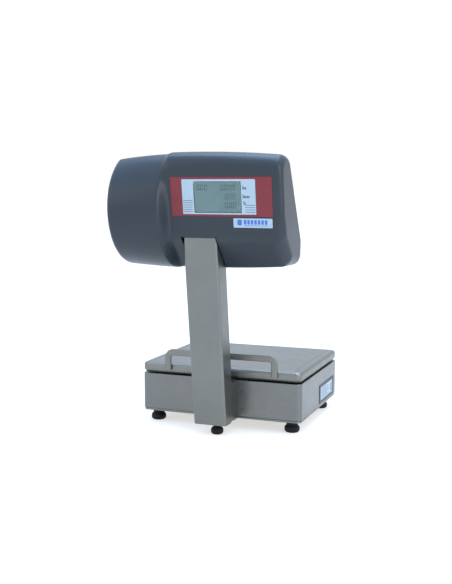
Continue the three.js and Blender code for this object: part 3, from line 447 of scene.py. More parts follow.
def lettering(text, size, spot, depth):
    """Flat raised figures as a bmesh, centred on a local place."""
    curve = bpy.data.curves.new("figures", "FONT")
    curve.body = text
    curve.size = size
    curve.extrude = depth / 2
    curve.align_x = "CENTER"
    curve.align_y = "CENTER"
    curve.resolution_u = 3
    holder = add_object("figures", curve)
    bpy.context.view_layer.update()
    data = bpy.data.meshes.new_from_object(holder.evaluated_get(bpy.context.evaluated_depsgraph_get()))
    mesh = bmesh.new()
    mesh.from_mesh(data)
    bpy.data.objects.remove(holder)
    bpy.data.curves.remove(curve)
    bpy.data.meshes.remove(data)
    bmesh.ops.remove_doubles(mesh, verts=mesh.verts, dist=1e-4)
    bmesh.ops.translate(mesh, verts=mesh.verts, vec=spot)
    return mesh


def add_to(mesh, other):
    """Appends one bmesh to another."""
    data = bpy.data.meshes.new("part")
    other.to_mesh(data)
    other.free()
    mesh.from_mesh(data)
    bpy.data.meshes.remove(data)


# ---- base -------------------------------------------------------------------------------
def base_ring(inset, z):
    """The base's rounded outline, drawn in and at a height."""
    half, depth, corner = BASE.half, BASE.depth, BASE.corner
    outline = rounded(-half + inset, half - inset, inset, depth - inset, corner - inset / 2, 10)
    return [(x, y, z) for x, y in outline]


def top_edge(inset, top, radius, steps):
    """Rings that round the outer edge of a top sheet."""
    turns = [radians(90 * i / steps) for i in range(steps + 1)]
    return [base_ring(inset + radius * (1 - cos(turn)), top - radius + radius * sin(turn))
            for turn in turns]


def cut_lines(mesh, at, lines, keep):
    """Splits the faces that keep() accepts along local lines, each ('x' or 'y' or 'z', place)."""
    inverse = at.inverted()
    for axis, place in lines:
        normal = at.to_3x3() @ Vector({"x": (1, 0, 0), "y": (0, 1, 0), "z": (0, 0, 1)}[axis])
        local = Vector({"x": (place, 0, 0), "y": (0, place, 0), "z": (0, 0, place)}[axis])
        faces = [f for f in mesh.faces
                 if keep(inverse @ f.calc_center_median(), inverse.to_3x3() @ f.normal)]
        edges = {e for f in faces for e in f.edges}
        geometry = faces + list(edges) + list({v for f in faces for v in f.verts})
        bmesh.ops.bisect_plane(mesh, geom=geometry, dist=1e-4, plane_co=at @ local, plane_no=normal)
    mesh.normal_update()


def faces_in(mesh, at, x, y, keep):
    """Faces whose centre is inside a local rectangle and that keep() accepts."""
    inverse = at.inverted()
    found = []
    for face in mesh.faces:
        centre = inverse @ face.calc_center_median()
        inside = x[0] < centre.x < x[1] and y[0] < centre.y < y[1]
        if inside and keep(centre, inverse.to_3x3() @ face.normal):
            found.append(face)
    return found


def patch(mesh, at, rect, keep):
    """Cuts a local rectangle (x0, x1, y0, y1) into a skin and gives its faces."""
    x0, x1, y0, y1 = rect
    cut_lines(mesh, at, [("x", x0), ("x", x1), ("y", y0), ("y", y1)], keep)
    return faces_in(mesh, at, (x0, x1), (y0, y1), keep)


def sink(mesh, faces, shift):
    """Moves a patch of a skin by a vector and leaves walls round it."""
    made = bmesh.ops.extrude_face_region(mesh, geom=faces)["geom"]
    bmesh.ops.delete(mesh, geom=faces, context="FACES")
    moved = [item for item in made if isinstance(item, bmesh.types.BMVert)]
    bmesh.ops.translate(mesh, verts=moved, vec=shift)
    mesh.normal_update()
    return [item for item in made if isinstance(item, bmesh.types.BMFace)]


def face_out(mesh):
    bmesh.ops.recalc_face_normals(mesh, faces=mesh.faces)


def remove(mesh, faces):
    bmesh.ops.delete(mesh, geom=faces, context="FACES")


def flat(centre, normal):
    """Accepts the faces that look along z of their axes."""
    return normal.z > 0.999


def add_base():
    low = BASE.bottom + BASE.lip + GAP
    top = BASE.top
    edge = 1.2
    rings = [base_ring(0, low), *top_edge(0, top, edge, 5)]
    skin = bmesh.new()
    loft(skin, rings, low_cap=False)
    skin.normal_update()
    remove(skin, patch(skin, PLAIN, LOAD_OPENING, flat))
    for y0, y1, z0, z1 in OUTLETS.values():
        remove(skin, patch(skin, LEFT_WALL_AXES, grown((-y1, -y0, z0, z1), GAP), flat))
    piece("base_body", skin, STEEL, "body", ["base_housing"], thick=SHEET, bevel=0.25,
          sharp=40)

    tray = bmesh.new()
    bottom = BASE.bottom
    loft(tray, [base_ring(1.6, bottom), base_ring(1.2, bottom + 0.5), base_ring(1.2, bottom + BASE.lip)],
         high_cap=False)
    piece("base_floor", tray, STEEL, "body", ["base_tray"], thick=SHEET, sharp=40)
    bosses = bmesh.new()
    for name, (x, y) in FEET.items():
        if name != "column":
            rod(bosses, "z", 8, bottom + SHEET, bottom + 26, (x, y), 0.5, 32, bore=4.3)
    piece("foot_bosses", bosses, ZINC, "body")


def add_pan():
    rim, top, inset, step = PAN.rim, PAN.top, PAN.inset, PAN.step
    lip = rim + PAN.skirt
    rings = [base_ring(inset + step, rim), base_ring(inset + step, lip - 0.4),
             base_ring(inset + step - 0.4, lip), base_ring(inset + 0.5, lip), base_ring(inset, lip + 0.5)]
    rings += top_edge(inset, top, PAN.edge, 8)
    bead = [(15.0, 0.0), (15.6, -0.45), (16.4, -0.8), (17.2, -0.45), (17.8, 0.0)]
    bead = [(11.0, 0.0), *bead, (24.0, 0.0)]
    rings += [base_ring(inset + across, top + height) for across, height in bead]
    skin = bmesh.new()
    loft(skin, rings, low_cap=False)
    piece("pan_top", skin, PAN_STEEL, "pan", ["weighing_pan"], thick=SHEET, sharp=60)

    rail = bmesh.new()
    span, height, bend, foot = RAIL.span, RAIL.top, RAIL.bend, RAIL.foot
    line = [(-span, foot)] + arc(-span + bend, height - bend, bend, 180, 90, 12)
    line += arc(span - bend, height - bend, bend, 90, 0, 12) + [(span, foot)]
    section = rounded(-RAIL.width / 2, RAIL.width / 2, -RAIL.thick, 0, 2.2, 5)
    y0 = PAN.inset - GAP
    rings = []
    for i, (x, z) in enumerate(line):
        before = Vector(line[max(i - 1, 0)])
        after = Vector(line[min(i + 1, len(line) - 1)])
        along = (after - before).normalized()
        side = Vector((-along.y, along.x))
        rings.append([(RAIL.x + x + side.x * a, y0 + b, z + side.y * a) for a, b in section])
    loft(rail, [list(reversed(ring)) for ring in rings])
    face_out(rail)
    piece("goods_rail_bar", rail, PAN_STEEL, "pan", ["goods_rail"], sharp=40)


# A foot's pad and neck radii, its height and how far its thread goes on up.
SMALL_FOOT = (13, 7.5, 21.5, 20)
BASE_FOOT = (16, 11.5, 24.2, 22)
RIBS = 36


def add_feet():
    for name, (x, y) in FEET.items():
        pad, neck, height, rise = SMALL_FOOT if name == "column" else BASE_FOOT
        mesh = bmesh.new()
        lathe(mesh, [(0, 0), (pad - 4, 0), (pad - 2.4, 0.7), (pad - 0.9, 2.4), (pad, 4.4),
                     (pad, 9.4), (pad - 0.6, 11.4), (pad - 2.0, 13.2), (pad - 3.4, 14.4),
                     (neck + 0.7, 15.8), (neck, 17.0), (neck, height - 1), (neck - 1, height),
                     (0, height)], 64, (x, y, 0))
        for i in range(RIBS):
            spin = Matrix.Translation((x, y, 0)) @ Matrix.Rotation(2 * pi * i / RIBS, 4, "Z")
            rib = bmesh.new()
            box(rib, (pad - 0.6, pad), (-0.55, 0.55), (4.6, 9.2))
            bmesh.ops.transform(rib, matrix=spin, verts=rib.verts)
            add_to(mesh, rib)
        piece(f"foot_{name}_pad", mesh, FOOT_RUBBER, f"foot_{name}",
              [f"levelling_foot_{name}"], sharp=40)
        thread = bmesh.new()
        outline = [(0, height)]
        for i in range(rise - 1):
            outline += [(3.3, height + i + 0.1), (4.0, height + i + 0.5)]
        outline += [(3.2, height + rise), (0, height + rise)]
        lathe(thread, outline, 24, (x, y, 0))
        piece(f"foot_{name}_thread", thread, ZINC, f"foot_{name}", sharp=60)


# ---- column -----------------------------------------------------------------------------
def add_column():
    half, depth, r = COLUMN.width / 2, COLUMN.depth, COLUMN.bend
    low, high = COLUMN.low, COLUMN.length

    def level(y):
        return (low - y * sin(LEAN)) / cos(LEAN)

    skin = bmesh.new()
    bend = arc(half - r, r, r, -90, 0, 12)
    section = [(-x, y) for x, y in reversed(bend)] + bend
    rows = [[skin.verts.new((x, y, z(y))) for x, y in section] for z in (level, lambda y: high)]
    for k in range(len(section) - 1):
        skin.faces.new((rows[0][k], rows[0][k + 1], rows[1][k + 1], rows[1][k]))
    corner = fillet((depth, high), (depth, level(depth)), (r, level(r)), COLUMN.corner, 12)
    for side, column in ((1, -1), (-1, 0)):
        rear = [skin.verts.new((side * half, depth, high))]
        turn = [skin.verts.new((side * half, y, z)) for y, z in corner]
        face = [rows[0][column], rows[1][column], *rear, *turn]
        skin.faces.new(face if side < 0 else list(reversed(face)))
    face_out(skin)
    skin.normal_update()
    front = min(skin.faces, key=lambda f: f.calc_center_median().y)
    if front.normal.y > 0:
        bmesh.ops.reverse_faces(skin, faces=skin.faces)
    piece("column_sheet", skin, COLUMN_STEEL, "body", ["column_cover"], COLUMN_AXES,
          thick=SHEET, bevel=0.3, sharp=40)
    dress(COLUMN_STEEL, 0.8, "column_block")
    dress(ZINC, 0.3, "column_spine", "head_bracket")


def dress(material, bevel, *nodes):
    """CAD nodes that are shown as they are, with a material and softened edges."""
    for node in nodes:
        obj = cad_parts[node]
        obj.data.materials.clear()
        obj.data.materials.append(material)
        obj.data.shade_smooth()
        round_edges(obj, bevel, 40)


# ---- head -------------------------------------------------------------------------------
def fillet(before, corner, after, radius, steps):
    """Points on a rounded corner of a (y, z) outline."""
    corner = Vector(corner)
    to_before = (Vector(before) - corner).normalized()
    to_after = (Vector(after) - corner).normalized()
    half = acos(max(-1, min(1, to_before.dot(to_after)))) / 2
    middle = corner + (to_before + to_after).normalized() * (radius / sin(half))
    start = corner + to_before * (radius / tan(half)) - middle
    end = corner + to_after * (radius / tan(half)) - middle
    sweep = atan2(start.x * end.y - start.y * end.x, start.dot(end))
    return [middle + Matrix.Rotation(sweep * i / steps, 2) @ start for i in range(steps + 1)]


def panel_y(z):
    return PANEL_FACE.y - (z - PANEL_FACE.z) * tan(SLOPE)


def display_y(z):
    return DISPLAY_FACE.y - (z - DISPLAY_FACE.z) * tan(LEAN)


LOW_BACK = (panel_y(HEAD.low_back), HEAD.low_back)
KNEE = (display_y(HEAD.knee), HEAD.knee)


def operator_corners(top, rounding, before, bottom, after):
    """The operator side's corners, from the top down."""
    top_back, back = (panel_y(top), top), (HEAD.back, bottom)
    return (fillet(before, top_back, LOW_BACK, rounding, 14) + fillet(top_back, LOW_BACK, back, 34, 10)
            + fillet(LOW_BACK, back, after, 13, 12))


def display_outline(bottom, top):
    """The (y, z) section of the head on the display's side."""
    front, top_front = (HEAD.front, bottom), (display_y(top), top)
    low = fillet((0, bottom), front, KNEE, 20, 12) + fillet(front, KNEE, top_front, 24, 12)
    high = fillet(KNEE, top_front, (0, top), 28, 18)
    return low + high + operator_corners(top, 18, top_front, bottom, front)


def drum_outline(bottom, top, along):
    """The (y, z) section of the head round the label roll; it gets lower towards the end."""
    above = top + DRUM.above - DRUM.taper * along - DRUM.z
    below = DRUM.z - bottom + DRUM.below
    front = []
    for i in range(49):
        angle = radians(DRUM.start + (DRUM.end - DRUM.start) * i / 48)
        y = DRUM.y + DRUM.depth * cos(angle)
        z = DRUM.z + (below if sin(angle) < 0 else above) * sin(angle)
        roof = top - 2 - DRUM.roof_slope * max(0.0, DRUM.roof_y - y)
        front.append(Vector((y, roof - soft_step(roof - z))))
    return front + operator_corners(top + 0.5, 12, front[-1], bottom, front[0])


def soft_step(depth, width=9.0):
    """A smooth max(depth, 0), so that two surfaces meet in a rounded edge."""
    if depth >= width:
        return depth
    if depth <= -width:
        return 0.0
    return (depth + width) ** 2 / (4 * width)


HEAD_MIDDLE = Vector((HEAD.y, HEAD.z))
HALF_DEPTH = 72
HALF_HEIGHT = 112


def reach(outline, angle):
    """How far an outline is from the head's middle in one direction."""
    direction = Vector((cos(angle), sin(angle)))
    best = 0.0
    for a, b in zip(outline, outline[1:] + outline[:1]):
        a, b = a - HEAD_MIDDLE, b - HEAD_MIDDLE
        edge = b - a
        bottom = direction.x * edge.y - direction.y * edge.x
        if abs(bottom) < 1e-9:
            continue
        t = (a.x * edge.y - a.y * edge.x) / bottom
        s = (a.x * direction.y - a.y * direction.x) / bottom
        if t > 0 and -1e-6 <= s <= 1 + 1e-6:
            best = max(best, t)
    return best


def head_angles():
    """Directions from the head's middle that meet every corner point of both outlines."""
    points = display_outline(HEAD.bottom, HEAD.top) + drum_outline(HEAD.bottom, HEAD.top, 0.0)
    angles = sorted(atan2(p.y - HEAD_MIDDLE.y, p.x - HEAD_MIDDLE.x) % (2 * pi) for p in points)
    kept = []
    for angle in angles:
        if not kept or angle - kept[-1] > radians(0.45):
            kept.append(angle)
    return kept


ANGLES = head_angles()


def smooth_step(value, low, high):
    t = max(0.0, min(1.0, (value - low) / (high - low)))
    return t * t * (3 - 2 * t)


def end_inset(x, angle):
    """How far the skin has drawn in at x, so that the head's two ends are rounded."""
    radius = END_ROUND.drum
    if x > 0:
        low_front = max(0.0, -sin(angle + radians(20)))
        share = smooth_step(low_front, 0.35, 0.95)
        radius = END_ROUND.display + (END_ROUND.low_front - END_ROUND.display) * share
    from_end = min(radius, HEAD.half - abs(x))
    return radius - sqrt(max(0.0, radius ** 2 - (radius - from_end) ** 2))


def head_ring(x):
    """The head's section at x: the display's outline, the drum's, or a blend in the step between them."""
    along = (x / HEAD.half) ** 2
    limits = (HEAD.bottom + HEAD.arch_bottom * along, HEAD.top - HEAD.arch_top * along)
    blend = smooth_step(-x, -HEAD.step_from, -HEAD.step_to)
    shapes = []
    if blend < 1:
        shapes.append((1 - blend, display_outline(*limits)))
    if blend > 0:
        shapes.append((blend, drum_outline(*limits, along)))
    ring = []
    for angle in ANGLES:
        distance = sum(share * reach(outline, angle) for share, outline in shapes)
        direction = Vector((cos(angle), sin(angle)))
        inset = end_inset(x, angle)
        point = direction * distance
        ring.append((x, HEAD_MIDDLE.x + point.x * (1 - inset / HALF_DEPTH),
                     HEAD_MIDDLE.y + point.y * (1 - inset / HALF_HEIGHT)))
    return ring


def head_skin():
    """The head's whole outer surface, before it is split into shell, panel and door."""
    half = HEAD.half
    reach_in = END_ROUND.low_front
    end = [half - reach_in * (1 - cos(radians(90 * i / 12))) for i in range(13)]
    beside = [COLUMN.width / 2 + grow for grow in (POCKET.clear, POCKET.around)]
    column = [COLUMN.x + side * away for side in (-1, 1) for away in beside]
    step = [HEAD.step_from + (HEAD.step_to - HEAD.step_from) * i / 12 for i in range(13)]
    plain = [-140, -110, -85, -12, 12, 60, 75, 95, 115, 135]
    places = sorted({round(x, 4) for x in end + [-x for x in end] + column + step + plain})
    skin = bmesh.new()
    loft(skin, [head_ring(x) for x in places])
    face_out(skin)
    skin.normal_update()
    return skin


def keep_side(mesh, at, depth, inner):
    """Keeps only the part of a skin under a local plane z = depth, or else the part over it."""
    origin = at @ Vector((0, 0, depth))
    normal = at.to_3x3() @ Vector((0, 0, 1))
    bmesh.ops.bisect_plane(mesh, geom=mesh.verts[:] + mesh.edges[:] + mesh.faces[:], dist=1e-4,
                           plane_co=origin, plane_no=normal, clear_outer=inner, clear_inner=not inner)
    mesh.normal_update()


def on_face(centre, normal):
    """Accepts the faces that lie in the plane z = 0 of their axes."""
    return normal.z > 0.9995 and abs(centre.z) < 0.5


def cut_column_pocket(skin):
    """Opens the head's underside round the column and gives the sunk band round the opening."""
    column, lip, clear = COLUMN_AXES, POCKET.lip, POCKET.clear

    def low_front(centre, normal):
        return 300 < centre.z < 470 and centre.y < 90 and normal.y < 0.2

    half = COLUMN.width / 2 + clear
    top = COLUMN.length - POCKET.below_top
    back = COLUMN.depth + clear
    cut_lines(skin, column, [("z", top), ("z", top + lip), ("y", back), ("y", back + lip)], low_front)
    band = [f for f in faces_in(skin, column, (-half - lip, half + lip), (-60, back + lip), low_front)
            if (column.inverted() @ f.calc_center_median()).z < top + lip]
    deep = POCKET.sink
    sunk = sink(skin, band, column.to_3x3() @ Vector((0, deep, deep)))
    inner, border = [], []
    for face in sunk:
        centre = column.inverted() @ face.calc_center_median()
        if abs(centre.x) < half and centre.y < back + deep and centre.z < top + deep:
            inner.append(face)
        elif (column.to_3x3().inverted() @ face.normal).y < 0.9:
            border.append([vert.co.copy() for vert in face.verts])
    remove(skin, inner)
    return border


def add_head_shell(skin):
    keep_side(skin, PANEL_AXES, SHELL_JOIN, inner=True)
    gasket = bmesh.new()
    for corners in cut_column_pocket(skin):
        gasket.faces.new([gasket.verts.new(corner) for corner in corners])
    bmesh.ops.remove_doubles(gasket, verts=gasket.verts, dist=0.01)
    piece("column_gasket", gasket, BLACK_PLASTIC, "body", thick=0.4, offset=1.0)

    def on_seat(centre, normal):
        return normal.z > 0.9995 and -1.5 < centre.z < -0.5

    seat = patch(skin, DISPLAY_AXES, grown(FASCIA, GAP), on_face)
    sink(skin, seat, DISPLAY_AXES.to_3x3() @ Vector((0, 0, -1)))
    remove(skin, patch(skin, DISPLAY_AXES, grown(WINDOW, 2), on_seat))
    piece("head_casing", skin, HEAD_PLASTIC, "body", ["head_shell"], thick=HEAD.wall,
          bevel=0.35, sharp=30)


def key_places():
    half = KEYPAD.key / 2
    x, y = KEYPAD.x + half, KEYPAD.y + half
    return {name: (x + (i % 3) * KEYPAD.pitch_x, y + (i // 3) * KEYPAD.pitch_y)
            for i, name in enumerate(KEY_NAMES)}


def add_operator_panel(skin):
    keep_side(skin, PANEL_AXES, SHELL_JOIN + GAP, inner=False)
    at = PANEL_AXES

    def opening(x0, x1, y0, y1, depth=None):
        """A hole in the panel's face, or a recess where a depth is given."""
        def near(centre, normal):
            beside = x0 - 40 < centre.x < x1 + 400 and y0 - 60 < centre.y < y1 + 400
            return beside and on_face(centre, normal)

        inside = patch(skin, at, (x0, x1, y0, y1), near)
        if depth is None:
            remove(skin, inside)
        else:
            sink(skin, inside, at.to_3x3() @ Vector((0, 0, -depth)))

    x0, x1, y0, y1 = grown(DOOR, DOOR_GAP)
    opening(x0, x1, y0 - LABEL_EXIT, y1)
    for x, y in key_places().values():
        half = KEYPAD.key / 2 + 0.5
        opening(x - half, x + half, y - half, y + half)
    opening(*grown(OVERLAY, GAP), 0.8)
    opening(*grown(OPERATOR_WINDOW, GAP), 1.2)

    def on_ledge(centre, normal):
        return normal.z > 0.99 and -2.4 < centre.z < -0.5

    remove(skin, patch(skin, at, grown(OPERATOR_WINDOW, -2), on_ledge))
    piece("operator_casing", skin, HEAD_PLASTIC, "body", ["operator_panel"],
          thick=HEAD.wall, bevel=0.3, sharp=30)
    lugs = bmesh.new()
    for across in ((DOOR[0] - 4.5, x0), (x1, DOOR[1] + 4.5)):
        box(lugs, across, (DOOR[3] - 9, DOOR[3] + 2), (-6, -3.1))
    piece("door_lugs", lugs, HEAD_PLASTIC, "body", at=at, bevel=0.3)


def add_head():
    skin = head_skin()
    other = skin.copy()
    add_head_shell(skin)
    add_operator_panel(other)


# ---- keyboard and operator display --------------------------------------------------------
# A key's rounded top: how far each ring draws in, and its height.
KEY_RINGS = ((0, -3.6), (0, 0.4), (0.35, 1.5), (0.9, 2.2), (1.6, 2.5), (2.6, 2.45), (4.2, 2.2))


def add_keys():
    half = KEYPAD.key / 2
    square = (-half, half, -half, half)
    for name, (x, y) in key_places().items():
        cap = bmesh.new()
        loft(cap, [[(px, py, z) for px, py in rounded(*grown(square, -inset), max(2.2 - inset, 0.8), 5)]
                   for inset, z in KEY_RINGS])
        slab(cap, rounded(*grown(square, 1.2), 1.0, 3), -5, -3.7)
        spot = PANEL_AXES @ Matrix.Translation((x, y, 0))
        piece(f"key_{name}_cap", cap, KEY_PLASTIC, f"key_{name}", [f"key_{name}"], spot,
              sharp=50)
        text = {"clear": "C"}.get(name, name)
        figures = lettering(text, 7.6 if len(text) < 2 else 6.4, (0, 0, 2.3), 0.24)
        piece(f"key_{name}_figure", figures, DARK_PRINT, f"key_{name}", at=spot)


OVERLAY_TONES = {"pale": WHITE_PRINT, "blue": BLUE_PRINT, "red": RED_FILM, "grey": PALE_PRINT}
OVERLAY_COLUMNS = 7
OVERLAY_ROWS = 5
OVERLAY_MARGIN = 5


def overlay_tone(row, column):
    """The colour group of one printed key."""
    if column == OVERLAY_COLUMNS - 1:
        return "blue"
    if (row, column) == (0, OVERLAY_COLUMNS - 2):
        return "red"
    return "grey" if row == 0 else "pale"


def add_overlay():
    x0, x1, y0, y1 = OVERLAY
    film = plate(rounded(*OVERLAY, 2, 4), -0.5, 0.35)
    piece("keyboard_film", film, KEYBOARD_FILM, "body", ["keyboard_overlay"], PANEL_AXES,
          bevel=0.15)
    groups = {name: bmesh.new() for name in OVERLAY_TONES}
    marks = bmesh.new()
    wide = (x1 - x0 - 2 * OVERLAY_MARGIN) / OVERLAY_COLUMNS
    tall = (y1 - y0 - 2 * OVERLAY_MARGIN) / OVERLAY_ROWS
    for row in range(OVERLAY_ROWS):
        for column in range(OVERLAY_COLUMNS):
            left, low = x0 + OVERLAY_MARGIN + column * wide, y0 + OVERLAY_MARGIN + row * tall
            cell = (left, left + wide, low, low + tall)
            tone = overlay_tone(row, column)
            outline = rounded(*grown(cell, -1.4), 1.6, 4)
            crown = rounded(*grown(cell, -1.8), 1.3, 4)
            loft(groups[tone], [[(x, y, z) for x, y in ring]
                                for ring, z in ((outline, 0.3), (outline, 0.5), (crown, 0.65))])
            if tone == "pale":
                number = str(row * OVERLAY_COLUMNS + column + 1)
                add_to(marks, lettering(number, 4.2, (left + wide / 2, low + tall / 2, 0.66), 0.06))
    for tone, mesh in groups.items():
        piece(f"overlay_keys_{tone}", mesh, OVERLAY_TONES[tone], "body", at=PANEL_AXES,
              sharp=40)
    piece("overlay_figures", marks, DARK_PRINT, "body", at=PANEL_AXES)


# The six lit bars of a seven-segment nought: (across, up, upright) as shares of the figure.
NOUGHT = ((0.5, 1, 0), (1, 0.75, 1), (1, 0.25, 1), (0.5, 0, 0), (0, 0.25, 1), (0, 0.75, 1))
INK = 0.05
# The heights of the figures, just over the two display films.
OPERATOR_INK = -3.98
CUSTOMER_INK = -0.98


def nought(mesh, x, y, height, z):
    """A seven-segment nought with its lower left corner at (x, y)."""
    width, bar, slant = height * 0.52, height * 0.1, 0.08
    for u, v, upright in NOUGHT:
        cx, cy = u * (width - bar) + bar / 2, v * (height - bar) + bar / 2
        long = (height / 2 - bar * 0.9) / 2 if upright else (width - bar * 1.6) / 2
        shape = [(-long, 0), (-long + bar / 2, -bar / 2), (long - bar / 2, -bar / 2), (long, 0),
                 (long - bar / 2, bar / 2), (-long + bar / 2, bar / 2)]
        points = [(-b, a) if upright else (a, b) for a, b in shape]
        placed = [(x + cx + a + (cy + b) * slant, y + cy + b) for a, b in points]
        slab(mesh, placed, z, z + INK)


def reading(mesh, text, x, y, height, z):
    """A display's reading of noughts and a point, from left to right, with its feet at y."""
    pitch = height * 0.72
    for character in text:
        if character == ".":
            point = (x - pitch * 0.14, x + pitch * 0.02, y, y + height * 0.1)
            slab(mesh, rounded(*point, 0.1, 2), z, z + INK)
        else:
            nought(mesh, x, y, height, z)
            x += pitch


def mark(mesh, x0, x1, y0, y1, radius, heights, steps=2):
    """A printed mark: a thin rounded slab between two heights."""
    slab(mesh, rounded(x0, x1, y0, y1, radius, steps), *heights)


def add_operator_display():
    x0, x1, y0, y1 = OPERATOR_WINDOW
    piece("operator_pane", plate(rounded(*OPERATOR_WINDOW, 2, 5), -0.9, 0.35), CLEAR, "body",
          ["operator_window"], PANEL_AXES, bevel=0.15)
    dress(LCD, 0.3, "operator_display")
    figures = bmesh.new()
    for text, across in (("0.000", 14), ("0.00", 74), ("0.00", 128)):
        reading(figures, text, x0 + across, y0 + 9, 13, OPERATOR_INK)
    piece("operator_figures", figures, DARK_PRINT, "body", at=PANEL_AXES)
    dress(BOARD, 0.1, "main_board")


def add_door():
    x0, x1, y0, y1 = DOOR
    hinge = (y1 - 4, -2)
    lid = plate(rounded(x0, x1, y0, y1 - 4, 1.5, 4), -3, 0)
    for rib in ((x0 + 6, x0 + 7.5), (x1 - 7.5, x1 - 6)):
        box(lid, rib, (y0 + 14, y1 - 8), (-6, -2.9))
    rod(lid, "x", 2.6, x0, x1, hinge, 0.3, 32)
    rod(lid, "x", 1.5, x0 - 3.8, x1 + 3.8, hinge, 0.3, 24)
    for i in range(3):
        rod(lid, "x", 1.1, x0 + 20, x1 - 20, (y0 + 3 + 4 * i, 0.25), 0.4, 20)
    piece("printer_door_lid", lid, HEAD_PLASTIC, "door", ["printer_door"], PANEL_AXES,
          bevel=0.3)


# ---- customer display -------------------------------------------------------------------
FRAME_LOW = -0.7
BEZEL_INK = (0.6, 0.65)
NAME_INK = (1.0, 1.06)


def frame_plate(outer, opening, top):
    """A flat rounded plate with a rectangular opening, a gap wider than what is set in it."""
    mesh = bmesh.new()
    outside, inside = rounded(*outer, 1.5, 5), rounded(*grown(opening, GAP), 0.6, 5)
    rows = [[mesh.verts.new((x, y, z)) for x, y in outline] for outline, z in (
        (inside, FRAME_LOW), (outside, FRAME_LOW), (outside, top), (inside, top))]
    join_rows(mesh, rows + rows[:1])
    face_out(mesh)
    return mesh


def add_customer_display():
    at = DISPLAY_AXES
    piece("fascia_plate", frame_plate(FASCIA, BEZEL, 0.5), RED_FILM, "body",
          ["display_fascia"], at, bevel=0.2)
    piece("bezel_plate", frame_plate(BEZEL, WINDOW, 0.6), PALE_PRINT, "body",
          ["display_bezel"], at, bevel=0.2)
    piece("window_pane", plate(rounded(*WINDOW, 0.8, 4), FRAME_LOW, 0.5), CLEAR, "body",
          ["display_window"], at, bevel=0.15)
    dress(LCD, 0.3, "customer_display")
    figures = bmesh.new()
    left, right, _, top = WINDOW
    for text, x, below in (("0.00", left + 6, 17), ("0.000", right - 42, 17),
                           ("0.00", right - 34, 34), ("0.00", right - 34, 51)):
        reading(figures, text, x, top - below, 11, CUSTOMER_INK)
    piece("customer_figures", figures, SEGMENT, "body", at=at)
    piece("name_plate_blank", plate(rounded(*NAME_PLATE, 1.0, 5), 0.05, 1.0), PALE_PRINT, "body",
          ["name_plate"], at, bevel=0.2)
    x0, x1, y0, y1 = NAME_PLATE
    bars = bmesh.new()
    mark(bars, x0 + 8, x0 + 17, y0 + 4.5, y1 - 2.5, 2.0, NAME_INK, 5)
    for i in range(7):
        mark(bars, x0 + 21 + 7 * i, x0 + 26 + 7 * i, y0 + 6.5, y1 - 3.0, 0.8, NAME_INK, 4)
    mark(bars, x0 + 21, x1 - 8, y0 + 3.6, y0 + 4.6, 0.3, NAME_INK, 3)
    piece("name_plate_bars", bars, BLUE_PRINT, "body", at=at, sharp=40)

    lines = bmesh.new()
    for count, x0, x1 in ((6, BEZEL[0] + 1.0, left - 3.2), (4, right + 7.5, BEZEL[1] - 1.0)):
        for i in range(count):
            y = BEZEL[2] + 5.0 + 4.3 * i
            mark(lines, x0, x1, y - 0.45, y + 0.45, 0.3, BEZEL_INK)
    piece("bezel_lines", lines, DARK_PRINT, "body", at=at, sharp=40)
    units = bmesh.new()
    for x, y, count in ((3.5, 49.0, 2), (3.5, 32.5, 4), (4.5, 20.0, 1)):
        x += right
        mark(units, x, x + 1.4, y, y + 7.0, 0.4, BEZEL_INK, 3)
        for i in range(count):
            mark(units, x + 2.2 + 3.0 * i, x + 4.2 + 3.0 * i, y, y + 4.4, 0.7, BEZEL_INK, 3)
    piece("bezel_units", units, DARK_PRINT, "body", at=at, sharp=40)


# ---- printer ----------------------------------------------------------------------------
# How far the paper's middle is from the rollers; the labels and the liner share the platen.
PAPER_GAP = 0.35
LABEL_GAP = 0.2
LINER_GAP = 0.6


def wrap(circle, gap, start, end, steps):
    """The path of a web round a roller, between two angles in degrees."""
    y, z = circle.at
    return arc(y, z, circle.radius + gap, start, end, steps)


def tangent_angle(first, first_gap, second, second_gap, side):
    """The angle of the points where the line that crosses between two rollers touches them."""
    a, b = Vector(first.at), Vector(second.at)
    line = b - a
    radii = first.radius + first_gap + second.radius + second_gap
    return degrees(atan2(line.y, line.x) + side * acos(radii / line.length))


def web(name, path, material):
    """A strip of paper across the printer along a path in the (y, z) plane."""
    points = [Vector(path[0])]
    for point in path[1:]:
        if (Vector(point) - points[-1]).length > 0.05:
            points.append(Vector(point))
    rings = []
    for i, point in enumerate(points):
        along = (points[min(i + 1, len(points) - 1)] - points[max(i - 1, 0)]).normalized()
        out = Vector((-along.y, along.x)) * PAPER_THICK / 2
        low, high = point - out, point + out
        rings.append([(WEB[0], *low), (WEB[1], *low), (WEB[1], *high), (WEB[0], *high)])
    mesh = bmesh.new()
    loft(mesh, rings)
    face_out(mesh)
    piece(name, mesh, material, "body", sharp=50)


def add_paper():
    """The labels' web from the roll to the peel bar, and the liner back to the rewinder."""
    gap, over, under = PAPER_GAP, LABEL_GAP, LINER_GAP
    leave = tangent_angle(ROLL, gap, GUIDE, gap, 1)
    rise = tangent_angle(GUIDE, gap, PLATEN, over, -1)
    labels = wrap(ROLL, gap, leave + 12, leave, 4) + wrap(GUIDE, gap, leave + 180, rise + 360, 12)
    labels += wrap(PLATEN, over, rise + 180, 90, 8) + [(-23.0, 412.0), (-16.8, 411.6)]
    web("label_web", labels, PAPER)
    drop = tangent_angle(PLATEN, under, REWINDER, gap, 1)
    turn = [(-16.8, 411.4), (-16.3, 410.9), (-16.3, 410.0), (-16.8, 409.2)]
    liner = turn + wrap(PLATEN, under, 12, drop, 12) + wrap(REWINDER, gap, drop + 180, 200, 12)
    web("liner_web", liner, LINER)


